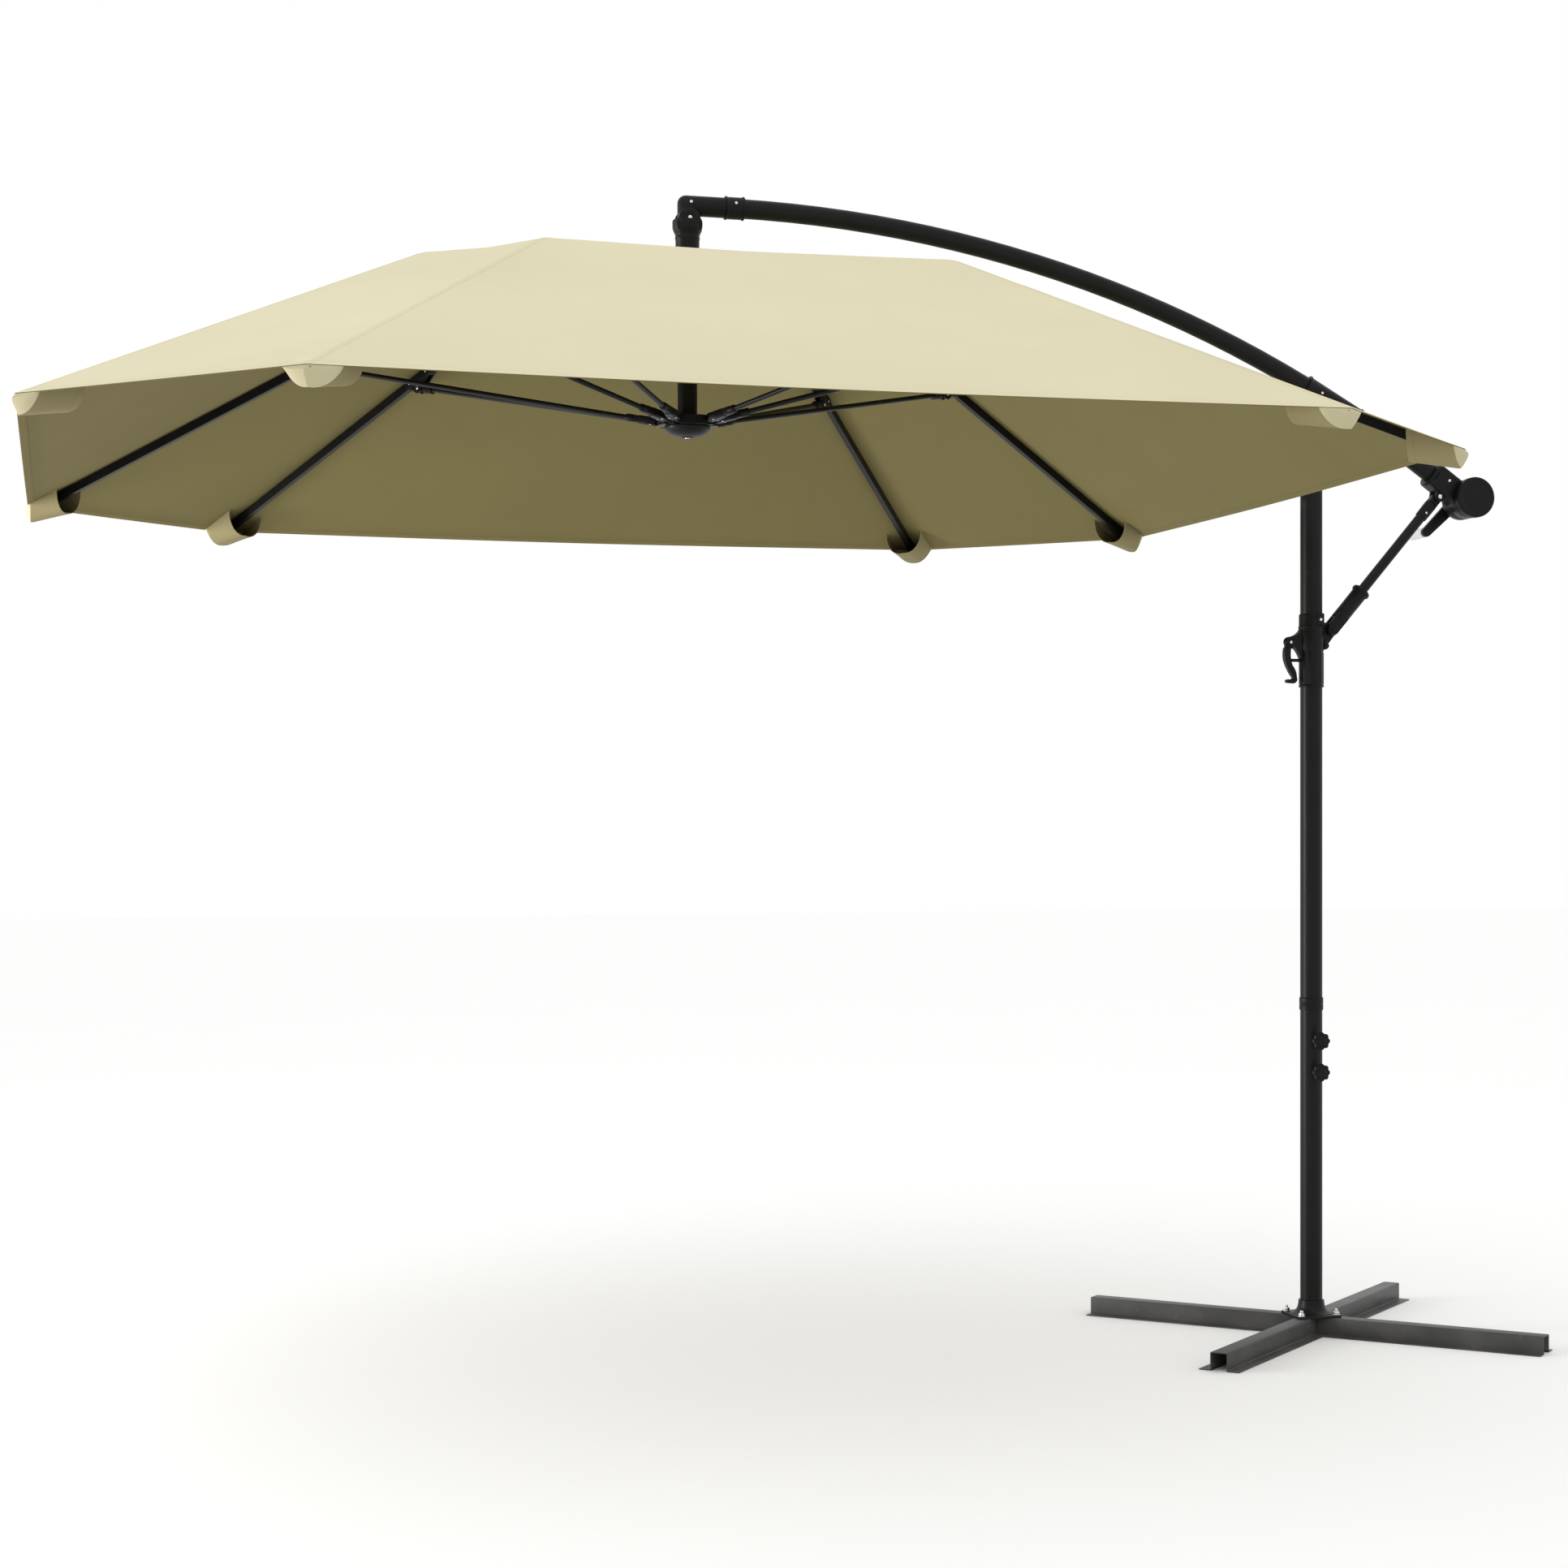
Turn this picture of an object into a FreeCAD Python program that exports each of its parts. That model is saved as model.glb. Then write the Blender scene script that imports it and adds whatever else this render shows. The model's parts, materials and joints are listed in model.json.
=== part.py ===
import FreeCAD, Part
import math
import os
from FreeCAD import Placement, Rotation, Vector

# A cantilever parasol: a cross base and mast, a curved boom hinged on the mast head and held
# by a strut from a sliding collar, and an eight-ribbed canopy that hangs from the boom's elbow.
# Millimetres.  +Z is up, the origin is on the ground under the mast, and the canopy is at -X.

SIZES = [
    ("mast_diameter", 48),
    ("mast_wall", 1.5),
    ("mast_joint", 715),
    ("mast_top", 1940),
    ("spigot_bottom", 520),
    ("spigot_top", 900),
    ("joint_ring_bottom", 703),
    ("joint_ring_top", 730),
    ("joint_ring_radius", 26),
    ("cross_length", 1040),
    ("channel_height", 38),
    ("channel_width", 38),
    ("channel_over_flanges", 88),
    ("channel_sheet", 2),
    ("flange_side", 102),
    ("flange_thickness", 5),
    ("flange_bolt_radius", 57),
    ("flange_neck_height", 34),
    ("bolt_radius", 4),
    ("knob_radius", 19.5),
    ("knob_upper_height", 638),
    ("knob_lower_height", 570),
    ("knob_reach", 60),
    ("boom_bend_radius", 2750),
    ("boom_bend_centre_x", -1290),
    ("boom_bend_centre_z", -376),
    ("boom_radius", 20),
    ("boom_wall", 1.8),
    ("boom_end_x", 290),
    ("boom_pivot_z", 1985),
    ("saddle_start_x", -15),
    ("saddle_end_x", 109),
    ("strut_foot_x", 45),
    ("strut_foot_z", 1531),
    ("strut_head_x", 300),
    ("strut_head_z", 1828),
    ("strut_radius", 11),
    ("strut_wall", 1.5),
    ("collar_bottom", 1405),
    ("collar_top", 1564),
    ("collar_bore_radius", 24.4),
    ("lever_pivot_x", -51),
    ("lever_pivot_z", 1502),
    ("plunger_z", 1463),
    ("winch_x", 374),
    ("winch_z", 1826),
    ("winch_radius", 44.5),
    ("winch_front_y", -46),
    ("winch_back_y", 42),
    ("crank_throw", 100),
    ("crank_angle", 224),
    ("grip_length", 88),
    ("grip_radius", 11.5),
    ("canopy_x", -1386),
    ("knuckle_z", 2345),
    ("head_sleeve_radius", 24.5),
    ("head_sleeve_bottom", 2244),
    ("post_radius", 20),
    ("post_top", 2300),
    ("crown_pivot_z", 2235),
    ("runner_pivot_z", 1930),
    ("hub_pivot_radius", 50),
    ("hub_radius", 62),
    ("hub_wire_radius", 2),
    ("tip_radius", 1573),
    ("tip_z", 1811),
    ("bend_radius", 700),
    ("bend_z", 2174.5),
    ("strut_pivot_radius", 834),
    ("rib_width", 12),
    ("rib_height", 18),
    ("rib_wall", 1.2),
    ("rib_drop", 13.5),
    ("pair_angle", 22.5),
    ("fabric_thickness", 1.2),
    ("fabric_inner_radius", 42),
]

document = FreeCAD.newDocument("CantileverParasol")
sheet = document.addObject("Spreadsheet::Sheet", "Sizes")
for row, (alias, number) in enumerate(SIZES, start=1):
    sheet.set(f"A{row}", alias)
    sheet.set(f"B{row}", str(number))
    sheet.setAlias(f"B{row}", alias)
document.recompute()

X_AXIS = Vector(1, 0, 0)
Y_AXIS = Vector(0, 1, 0)
Z_AXIS = Vector(0, 0, 1)
nodes = []


def size(alias):
    """A driving dimension, read back from the sheet."""
    return float(sheet.get(alias))


def node(name, feature):
    """Marks a feature as a finished sub-part of that name."""
    feature.Label = name
    nodes.append(feature)
    return feature


def bind(feature, expressions):
    for target, expression in expressions.items():
        feature.setExpression(target, str(expression))
    return feature


def place(feature, base, axis=Z_AXIS):
    """Puts a feature's base at three expressions, with its own Z along axis."""
    feature.Placement = Placement(Vector(), Rotation(Z_AXIS, axis))
    bind(feature, {"Placement.Base." + letter: word for letter, word in zip("xyz", base)})
    return feature


def cylinder(name, radius, length, base=(0, 0, 0), axis=Z_AXIS):
    feature = document.addObject("Part::Cylinder", name)
    bind(feature, {"Radius": radius, "Height": length})
    return place(feature, base, axis)


def cone(name, radius_low, radius_high, length, base=(0, 0, 0), axis=Z_AXIS):
    feature = document.addObject("Part::Cone", name)
    bind(feature, {"Radius1": radius_low, "Radius2": radius_high, "Height": length})
    return place(feature, base, axis)


def sphere(name, radius, base):
    feature = document.addObject("Part::Sphere", name)
    bind(feature, {"Radius": radius})
    return place(feature, base)


def box(name, sides, base):
    feature = document.addObject("Part::Box", name)
    bind(feature, dict(zip(("Length", "Width", "Height"), sides)))
    return place(feature, base)


def torus(name, ring_radius, wire_radius, base):
    feature = document.addObject("Part::Torus", name)
    bind(feature, {"Radius1": ring_radius, "Radius2": wire_radius})
    return place(feature, base)


def fuse(name, *shapes):
    feature = document.addObject("Part::MultiFuse", name)
    feature.Shapes = list(shapes)
    return feature


def cut(name, base, *tools):
    feature = document.addObject("Part::Cut", name)
    feature.Base = base
    feature.Tool = tools[0] if len(tools) == 1 else fuse(name + "_tools", *tools)
    return feature


def group(name, *shapes):
    """Separate solids kept together, such as a set of bolts."""
    feature = document.addObject("Part::Compound", name)
    feature.Links = list(shapes)
    return feature


def tube(name, outer, inner, length, base=(0, 0, 0), axis=Z_AXIS):
    wall = cylinder(name + "_outer", outer, length, base, axis)
    bore = cylinder(name + "_bore", inner, length, base, axis)
    return cut(name, wall, bore)


def new_body(name):
    return document.addObject("PartDesign::Body", name)


def new_sketch(body, plane, offset=0):
    """An empty sketch on one of the body's origin planes, moved along its normal."""
    sketch = body.newObject("Sketcher::SketchObject", body.Name + "_sketch")
    origin_plane = [item for item in body.Origin.OriginFeatures if item.Role == plane][0]
    sketch.AttachmentSupport = [(origin_plane, "")]
    sketch.MapMode = "FlatFace"
    sketch.AttachmentOffset = Placement(Vector(0, 0, offset), Rotation())
    return sketch


def outline(sketch, start, *steps):
    """A closed outline.  A step is a corner, or a pair of points: an arc through one to the other."""
    here = Vector(*start)
    for step in list(steps) + [start]:
        if isinstance(step[0], tuple):
            through, end = Vector(*step[0]), Vector(*step[1])
            sketch.addGeometry(Part.Arc(here, through, end))
        else:
            end = Vector(*step)
            if end.distanceToPoint(here) < 1e-6:
                continue
            sketch.addGeometry(Part.LineSegment(here, end))
        here = end
    return sketch


def hole(sketch, centre, radius):
    sketch.addGeometry(Part.Circle(Vector(*centre), Z_AXIS, radius))
    return sketch


def extrude(body, kind, sketch, length, symmetric=False):
    """Pads or pockets a sketch by an expression; a pocket goes against the sketch's normal."""
    feature = body.newObject("PartDesign::" + kind, body.Name + "_" + kind.lower())
    feature.Profile = sketch
    bind(feature, {"Length": length})
    if symmetric:
        feature.SideType = "Symmetric"
    document.recompute()
    return feature


def revolve(body, sketch):
    feature = body.newObject("PartDesign::Revolution", body.Name + "_turn")
    feature.Profile = sketch
    feature.ReferenceAxis = (sketch, ["V_Axis"])
    feature.Angle = 360
    document.recompute()
    return feature


def around(body, features, count):
    """Repeats features about the body's Z axis."""
    pattern = body.newObject("PartDesign::PolarPattern", body.Name + "_pattern")
    pattern.Originals = features
    z_axis = [item for item in body.Origin.OriginFeatures if item.Role == "Z_Axis"][0]
    pattern.Axis = (z_axis, [""])
    pattern.Angle = 360
    pattern.Occurrences = count
    body.Tip = pattern
    document.recompute()
    return pattern


def rounded_polygon(centre, radius, sides, depth):
    """Points of a lobed outline: arcs that bulge, with small valleys between them."""
    steps = []
    for side in range(sides):
        for share, reach in ((0.18, radius), (0.5, radius + depth), (0.82, radius)):
            angle = 2 * math.pi * (side + share) / sides
            steps.append((centre[0] + reach * math.cos(angle), centre[1] + reach * math.sin(angle)))
    return steps


# ---------------------------------------------------------------- base

def channel_section(body, offset):
    """The hat section of a base arm, across its length."""
    half = size("channel_width") / 2
    inner = half - size("channel_sheet")
    edge = size("channel_over_flanges") / 2
    top = size("channel_height")
    sheet_metal = size("channel_sheet")
    return outline(
        new_sketch(body, "YZ_Plane", offset), (-edge, 0), (-inner, 0), (-inner, top - sheet_metal),
        (inner, top - sheet_metal), (inner, 0), (edge, 0), (edge, sheet_metal), (half, sheet_metal),
        (half, top), (-half, top), (-half, sheet_metal), (-edge, sheet_metal))


def arm_bolt_holes(body, places):
    holes = new_sketch(body, "XY_Plane", size("channel_height") + 1)
    for x in places:
        hole(holes, (x, 0), size("bolt_radius") + 0.3)
    extrude(body, "Pocket", holes, "Sizes.channel_sheet + 4")


def long_arm():
    body = new_body("cross_arm_long")
    extrude(body, "Pad", channel_section(body, 0), "Sizes.cross_length", symmetric=True)
    arm_bolt_holes(body, (-size("flange_bolt_radius"), size("flange_bolt_radius")))
    body.Placement = Placement(Vector(), Rotation(Z_AXIS, 45))
    return body


def half_arm(name, heading):
    """Butts against the long arm; its flanges stop short of the long arm's flange."""
    body = new_body(name)
    start = size("channel_width") / 2 + 0.5
    extrude(body, "Pad", channel_section(body, start), "Sizes.cross_length/2 - Sizes.channel_width/2 - 0.5")
    relief = new_sketch(body, "XY_Plane", size("channel_sheet") + 0.4)
    reach = size("channel_over_flanges") / 2 + 0.5
    outline(relief, (start - 1, -reach), (reach, -reach), (reach, reach), (start - 1, reach))
    extrude(body, "Pocket", relief, "Sizes.channel_sheet + 1")
    arm_bolt_holes(body, (size("flange_bolt_radius"),))
    body.Placement = Placement(Vector(), Rotation(Z_AXIS, heading))
    return body


def foot_flange():
    """A square plate with a flared neck that takes the foot of the mast."""
    body = new_body("foot_flange")
    half = size("flange_side") / 2
    corner = 8
    mast = size("mast_diameter") / 2 + 0.05
    plate = new_sketch(body, "XY_Plane")
    slope = corner * (1 - math.sqrt(0.5))
    outline(
        plate, (-half + corner, -half), (half - corner, -half),
        ((half - slope, -half + slope), (half, -half + corner)), (half, half - corner),
        ((half - slope, half - slope), (half - corner, half)), (-half + corner, half),
        ((-half + slope, half - slope), (-half, half - corner)), (-half, -half + corner),
        ((-half + slope, -half + slope), (-half + corner, -half)))
    hole(plate, (0, 0), mast)
    bolt = size("flange_bolt_radius") / math.sqrt(2)
    for x, y in ((bolt, bolt), (-bolt, bolt), (-bolt, -bolt), (bolt, -bolt)):
        hole(plate, (x, y), size("bolt_radius") + 0.3)
    extrude(body, "Pad", plate, "Sizes.flange_thickness")
    top = size("flange_neck_height")
    low = size("flange_thickness") - 0.5
    neck = outline(
        new_sketch(body, "XZ_Plane"), (mast, low), (44, low), (44, low + 2),
        ((32, 14), (28, top - 7)), (28, top), (mast, top))
    revolve(body, neck)
    bind(body, {"Placement.Base.z": "Sizes.channel_height"})
    return body


def foot_bolt(name, heading):
    """Shank with a head under the arm, a washer, a nut and a domed end on top."""
    x = f"Sizes.flange_bolt_radius * {math.cos(math.radians(heading)):.6f}"
    y = f"Sizes.flange_bolt_radius * {math.sin(math.radians(heading)):.6f}"
    arm = "Sizes.channel_height"
    plate = arm + " + Sizes.flange_thickness"
    under_arm = arm + " - Sizes.channel_sheet - 3.5"
    shank_length = "Sizes.flange_thickness + 12"
    head = cylinder(name + "_head", "Sizes.bolt_radius + 3.5", 3.5, (x, y, under_arm))
    shank = cylinder(name + "_shank", "Sizes.bolt_radius", shank_length, (x, y, arm + " - 4"))
    washer = cylinder(name + "_washer", "Sizes.bolt_radius * 2", 1.6, (x, y, plate))
    nut = document.addObject("Part::Prism", name + "_nut")
    nut.Polygon = 6
    bind(nut, {"Circumradius": "Sizes.bolt_radius * 1.8", "Height": 6})
    place(nut, (x, y, plate + " + 1.6"))
    dome = sphere(name + "_dome", "Sizes.bolt_radius * 1.3", (x, y, plate + " + 7"))
    return fuse(name, head, shank, washer, nut, dome)


node("cross_arm_long", long_arm())
half_arms = [half_arm("half_arm_right", -45), half_arm("half_arm_left", 135)]
node("cross_arm_halves", group("cross_arm_pair", *half_arms))
node("foot_flange", foot_flange())
bolts = [foot_bolt(f"foot_bolt_{heading}", heading) for heading in (45, 135, 225, 315)]
node("foot_bolts", group("foot_bolt_set", *bolts))


# ---------------------------------------------------------------- mast

def lower_mast_tube():
    """The lower tube with two welded nuts for the clamp knobs on its front."""
    outer = cylinder("lower_tube_outer", "Sizes.mast_diameter/2", "Sizes.mast_joint - Sizes.channel_height",
                     (0, 0, "Sizes.channel_height"))
    shapes = [outer]
    holes = [cylinder("lower_tube_bore", "Sizes.mast_diameter/2 - Sizes.mast_wall", "Sizes.mast_joint",
                      (0, 0, "Sizes.channel_height"))]
    for place_name in ("upper", "lower"):
        height = f"Sizes.knob_{place_name}_height"
        wall = "-Sizes.mast_diameter/2"
        shapes.append(cylinder(f"knob_nut_{place_name}", 8.5, 12, (0, wall + " + 1", height), -Y_AXIS))
        holes.append(cylinder(f"knob_thread_{place_name}", 4.1, 20, (0, wall + " + 4", height), -Y_AXIS))
    return cut("lower_tube", fuse("lower_tube_solid", *shapes), *holes)


def mast_joint_ring():
    body = new_body("mast_joint_ring")
    wall = size("mast_diameter") / 2
    low, joint, high = size("joint_ring_bottom"), size("mast_joint"), size("joint_ring_top")
    edge = size("joint_ring_radius")
    ring = outline(
        new_sketch(body, "XZ_Plane"), (wall + 0.02, low), (edge - 0.8, low), (edge, low + 0.8),
        (edge, high - 1.2), (edge - 1.2, high), (wall + 0.06, high), (wall + 0.06, joint + 1),
        (wall - 1.3, joint + 1), (wall - 1.3, joint), (wall + 0.02, joint))
    revolve(body, ring)
    return body


def upper_mast_tube():
    """The swaged lower end is the spigot that turns in the lower tube."""
    body = new_body("upper_mast_tube")
    wall = size("mast_diameter") / 2
    inner = wall - size("mast_wall")
    low, spigot, top = size("spigot_bottom"), size("spigot_top"), size("mast_top")
    step = size("mast_joint") + 1
    tube_outline = outline(
        new_sketch(body, "XZ_Plane"), (inner - 2, low), (inner - 0.05, low), (inner - 0.05, step),
        (wall, step), (wall, top), (inner, top), (inner, spigot), (inner - 2, spigot))
    revolve(body, tube_outline)
    return body


def mast_head():
    """A cap over the mast with two ears that carry the boom's hinge pin."""
    body = new_body("mast_head")
    wall = size("mast_diameter") / 2 + 0.05
    top = size("mast_top")
    pivot = size("boom_pivot_z")
    ear = 19
    cap = outline(
        new_sketch(body, "XZ_Plane"), (wall, top - 45), (wall + 2, top - 45), (wall + 3, top - 44),
        (wall + 3, top + 8), (wall, top + 12), (0, top + 12), (0, top + 1), (wall, top + 1))
    revolve(body, cap)
    ears = outline(
        new_sketch(body, "XZ_Plane"), (-ear - 2, top + 6), (-ear, pivot), ((0, pivot + ear), (ear, pivot)),
        (ear + 2, top + 6))
    hole(ears, (0, pivot), 6.05)
    extrude(body, "Pad", ears, 44, symmetric=True)
    slot = outline(
        new_sketch(body, "XZ_Plane"), (-40, top + 12), (40, top + 12), (40, pivot + 30), (-40, pivot + 30))
    extrude(body, "Pocket", slot, 28.4, symmetric=True)
    return body


def clamp_knob(place_name, lobes):
    """A star knob on a screw that bears on the spigot through the lower tube."""
    name = "clamp_knob_" + place_name
    body = new_body(name)
    radius = size("knob_radius")
    reach = size("knob_reach")
    points = rounded_polygon((0, 0), radius - 2, lobes, 2)
    steps = []
    for side in range(lobes):
        first, middle, last = points[3 * side:3 * side + 3]
        steps.append((middle, last))
        if side < lobes - 1:
            steps.append(points[3 * side + 3])
    extrude(body, "Pad", outline(new_sketch(body, "XY_Plane", reach - 13), points[0], *steps), 11)
    start = size("mast_diameter") / 2
    shaft = outline(
        new_sketch(body, "XZ_Plane"), (0, start - 1.4), (4, start - 1.4), (4, start + 13), (9, start + 13),
        (12, reach - 12.5), (15, reach - 3), ((13, reach - 0.8), (10, reach)), (0, reach))
    revolve(body, shaft)
    body.Placement = Placement(Vector(), Rotation(Z_AXIS, -Y_AXIS))
    bind(body, {"Placement.Base.z": f"Sizes.knob_{place_name}_height"})
    return body


node("lower_mast_tube", lower_mast_tube())
node("mast_joint_ring", mast_joint_ring())
node("upper_mast_tube", upper_mast_tube())
node("mast_head", mast_head())
pin = cylinder("boom_hinge_shank", 6, 50, (0, -25, "Sizes.boom_pivot_z"), Y_AXIS)
pin_heads = [
    cone(f"boom_hinge_head_{side}", 11, 8, 4, (0, 22.2 * side, "Sizes.boom_pivot_z"), Y_AXIS * side)
    for side in (-1, 1)]
node("boom_pivot_pin", fuse("boom_hinge_pin", pin, *pin_heads))
node("clamp_knob_upper", clamp_knob("upper", 8))
node("clamp_knob_lower", clamp_knob("lower", 8))


# ---------------------------------------------------------------- collar and its latch

def slide_collar():
    """The sleeve that slides on the mast, with the strut's lug and the lever's housing."""
    body = new_body("slide_collar")
    bore = size("collar_bore_radius")
    low, high = size("collar_bottom"), size("collar_top")
    waist = low + 78
    rings = high - 34
    sleeve = outline(
        new_sketch(body, "XZ_Plane"), (bore, low), (27.3, low), (27.3, low + 4), (26.2, low + 5),
        (26.2, waist - 1), (25.6, waist), (27.5, waist + 1), (27.5, rings - 4), (26.4, rings - 3),
        (28.4, rings - 1.5), (28.4, rings + 1), (26.4, rings + 2.5), (28.4, rings + 4), (28.4, rings + 6),
        (27, rings + 7.5), (27, high - 3), (26, high), (bore, high))
    revolve(body, sleeve)
    foot_x, foot_z = size("strut_foot_x"), size("strut_foot_z")
    lug_low, lug_high = foot_z - 44, foot_z + 15
    lug = outline(
        new_sketch(body, "XZ_Plane"), (25.5, lug_low), (28, lug_low), (foot_x + 9, foot_z - 10),
        ((foot_x + 12, foot_z + 3), (foot_x, foot_z + 13)), (34, lug_high), (25.5, lug_high))
    hole(lug, (foot_x, foot_z), 5)
    extrude(body, "Pad", lug, 14, symmetric=True)
    root = outline(
        new_sketch(body, "XZ_Plane"), (24.6, lug_low), (28, lug_low), (36, lug_low + 9), (32, lug_low + 19),
        (24.6, lug_low + 21))
    extrude(body, "Pad", root, 30, symmetric=True)
    lever_x, lever_z = size("lever_pivot_x"), size("lever_pivot_z")
    shoulder = outline(
        new_sketch(body, "XZ_Plane"), (-25.2, lever_z + 31), ((-36, lever_z + 18), (-53, lever_z + 12)),
        ((-61, lever_z + 6), (-62, lever_z - 3)), (-47, lever_z - 8.5),
        ((-36, lever_z - 18), (-25.2, lever_z - 44)))
    hole(shoulder, (lever_x, lever_z), 2.5)
    extrude(body, "Pad", shoulder, 18, symmetric=True)
    lever_slot = outline(
        new_sketch(body, "XZ_Plane"), (-70, lever_z - 22), (-42, lever_z - 22), (-42, lever_z + 8.5),
        (-70, lever_z + 8.5))
    extrude(body, "Pocket", lever_slot, 10.8, symmetric=True)
    flute = outline(
        new_sketch(body, "XY_Plane", low + 5), (25.9, -1.8), (27.1, -1.8), (27.1, 1.8), (25.9, 1.8))
    around(body, [extrude(body, "Pad", flute, "Sizes.collar_top - Sizes.collar_bottom - 88")], 12)
    screw_boss = outline(
        new_sketch(body, "XZ_Plane", 22), (2, high - 26), (18, high - 26), (18, high + 1), (2, high + 1))
    extrude(body, "Pad", screw_boss, 7)
    plunger_hole = hole(new_sketch(body, "YZ_Plane", -20), (0, size("plunger_z")), 3.6)
    extrude(body, "Pocket", plunger_hole, 30)
    bore_circle = hole(new_sketch(body, "XY_Plane", high + 5), (0, 0), bore)
    extrude(body, "Pocket", bore_circle, "Sizes.collar_top - Sizes.collar_bottom + 10")
    return body


def latch_lever():
    """The S-shaped trigger: a tongue in the collar's slot and a wider blade below it."""
    body = new_body("latch_lever")
    x, z = size("lever_pivot_x"), size("lever_pivot_z")
    tongue = outline(
        new_sketch(body, "XZ_Plane"), (x - 9, z - 14), ((x - 11.5, z - 2), (x - 7, z + 6)),
        ((x, z + 7.5), (x + 5, z + 4)), (x + 5, z - 14))
    hole(tongue, (x, z), 2.56)
    extrude(body, "Pad", tongue, 10, symmetric=True)
    blade = outline(
        new_sketch(body, "XZ_Plane"), (x - 12.5, z - 10.5), ((x - 14.5, z - 24), (x - 13.5, z - 38)),
        ((x - 9, z - 51), (x + 4.5, z - 74)), ((x + 5.8, z - 78.5), (x + 2, z - 80.8)),
        (x - 5.5, z - 80.4), ((x - 9.3, z - 84.4), (x - 5.5, z - 88.4)), (x + 8, z - 89.4),
        ((x + 14.4, z - 85), (x + 14.8, z - 76)),
        ((x + 12, z - 62), (x + 4.5, z - 50)), ((x + 1.7, z - 40), (x + 1.7, z - 11.5)))
    extrude(body, "Pad", blade, 16, symmetric=True)
    return body


node("slide_collar", slide_collar())
foot_pin = cylinder("foot_pin_shank", 4.95, 36, ("Sizes.strut_foot_x", -18, "Sizes.strut_foot_z"), Y_AXIS)
foot_pin_heads = [
    cone(f"foot_pin_head_{side}", 12.5, 10, 3.2, ("Sizes.strut_foot_x", 15.8 * side, "Sizes.strut_foot_z"),
         Y_AXIS * side)
    for side in (-1, 1)]
node("latch_lever", latch_lever())
plunger_rod = cylinder("plunger_rod", 3.55, 24.3, (-48.6, 0, "Sizes.plunger_z"), X_AXIS)
node("brake_plunger", plunger_rod)
lever_pin = cylinder("lever_pin_shank", 2.5, 20, ("Sizes.lever_pivot_x", -10, "Sizes.lever_pivot_z"), Y_AXIS)
lever_pin_heads = [
    cone(f"lever_pin_head_{side}", 4, 3, 1.2, ("Sizes.lever_pivot_x", 9.2 * side, "Sizes.lever_pivot_z"),
         Y_AXIS * side)
    for side in (-1, 1)]
whole_foot_pin = fuse("foot_pin", foot_pin, *foot_pin_heads)
whole_lever_pin = fuse("lever_pin", lever_pin, *lever_pin_heads)
node("collar_pins", group("collar_pin_pair", whole_foot_pin, whole_lever_pin))


# ---------------------------------------------------------------- strut

strut_rise = size("strut_head_z") - size("strut_foot_z")
strut_run = size("strut_head_x") - size("strut_foot_x")
strut_length = math.hypot(strut_rise, strut_run)
strut_axis = Vector(strut_run, 0, strut_rise).normalize()
strut_foot = Vector(size("strut_foot_x"), 0, size("strut_foot_z"))
strut_frame = Placement(strut_foot, Rotation(Y_AXIS, -math.degrees(math.atan2(strut_rise, strut_run))))
FOOT_PLAY = 5


def strut_socket():
    """Lower socket: a flanged sleeve, forked over the collar's lug with play round the pin."""
    body = new_body("strut_socket")
    inner = size("strut_radius") + 0.05
    sleeve = outline(
        new_sketch(body, "XZ_Plane"), (0, 24), (15, 24), (17.5, 28), (17.5, 106), (20.5, 107.5), (20.5, 114),
        (18, 116), (inner, 116), (inner, 60), (0, 60))
    revolve(body, sleeve)
    cheeks = outline(
        new_sketch(body, "XZ_Plane"), (-14, 36), (-14, 0), ((0, -14), (14, 0)), (14, 36))
    hole(cheeks, (0, 0), 5 + FOOT_PLAY)
    extrude(body, "Pad", cheeks, 30, symmetric=True)
    slot = outline(new_sketch(body, "XZ_Plane"), (-25, 24), (-25, -25), (25, -25), (25, 24))
    extrude(body, "Pocket", slot, 15.2, symmetric=True)
    body.Placement = strut_frame * Placement(Vector(), Rotation(Z_AXIS, X_AXIS))
    return body


def strut_fork():
    """Upper end piece: a plug in the tube and a rounded tongue between the winch lugs."""
    body = new_body("strut_fork")
    inner = size("strut_radius") - size("strut_wall") - 0.05
    plug = outline(
        new_sketch(body, "XZ_Plane"), (0, -60), (inner, -60), (inner, -38), (13.5, -38), (13.5, -22),
        (11, -17), (0, -17))
    revolve(body, plug)
    tongue = outline(new_sketch(body, "XZ_Plane"), (-11, -24), (-11, 0), ((0, 11), (11, 0)), (11, -24))
    hole(tongue, (0, 0), 5.06)
    extrude(body, "Pad", tongue, 20, symmetric=True)
    end = Placement(strut_axis * strut_length, Rotation())
    body.Placement = end * strut_frame * Placement(Vector(), Rotation(Z_AXIS, X_AXIS))
    return body


strut_outer = document.addObject("Part::Cylinder", "strut_tube_outer")
bind(strut_outer, {"Radius": "Sizes.strut_radius"})
strut_bore = document.addObject("Part::Cylinder", "strut_tube_bore")
bind(strut_bore, {"Radius": "Sizes.strut_radius - Sizes.strut_wall"})
for part in (strut_outer, strut_bore):
    part.Height = strut_length - 60.2 - 38.2
    part.Placement = Placement(strut_foot + strut_axis * 60.2, Rotation(Z_AXIS, strut_axis))
node("strut_socket", strut_socket())
node("strut_tube", cut("strut_tube", strut_outer, strut_bore))
node("strut_fork", strut_fork())


# ---------------------------------------------------------------- boom

def boom_angle(x):
    """Angle on the boom's bend circle, from +X, of the point of its centre line over x."""
    return math.degrees(math.acos((x - size("boom_bend_centre_x")) / size("boom_bend_radius")))


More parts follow.
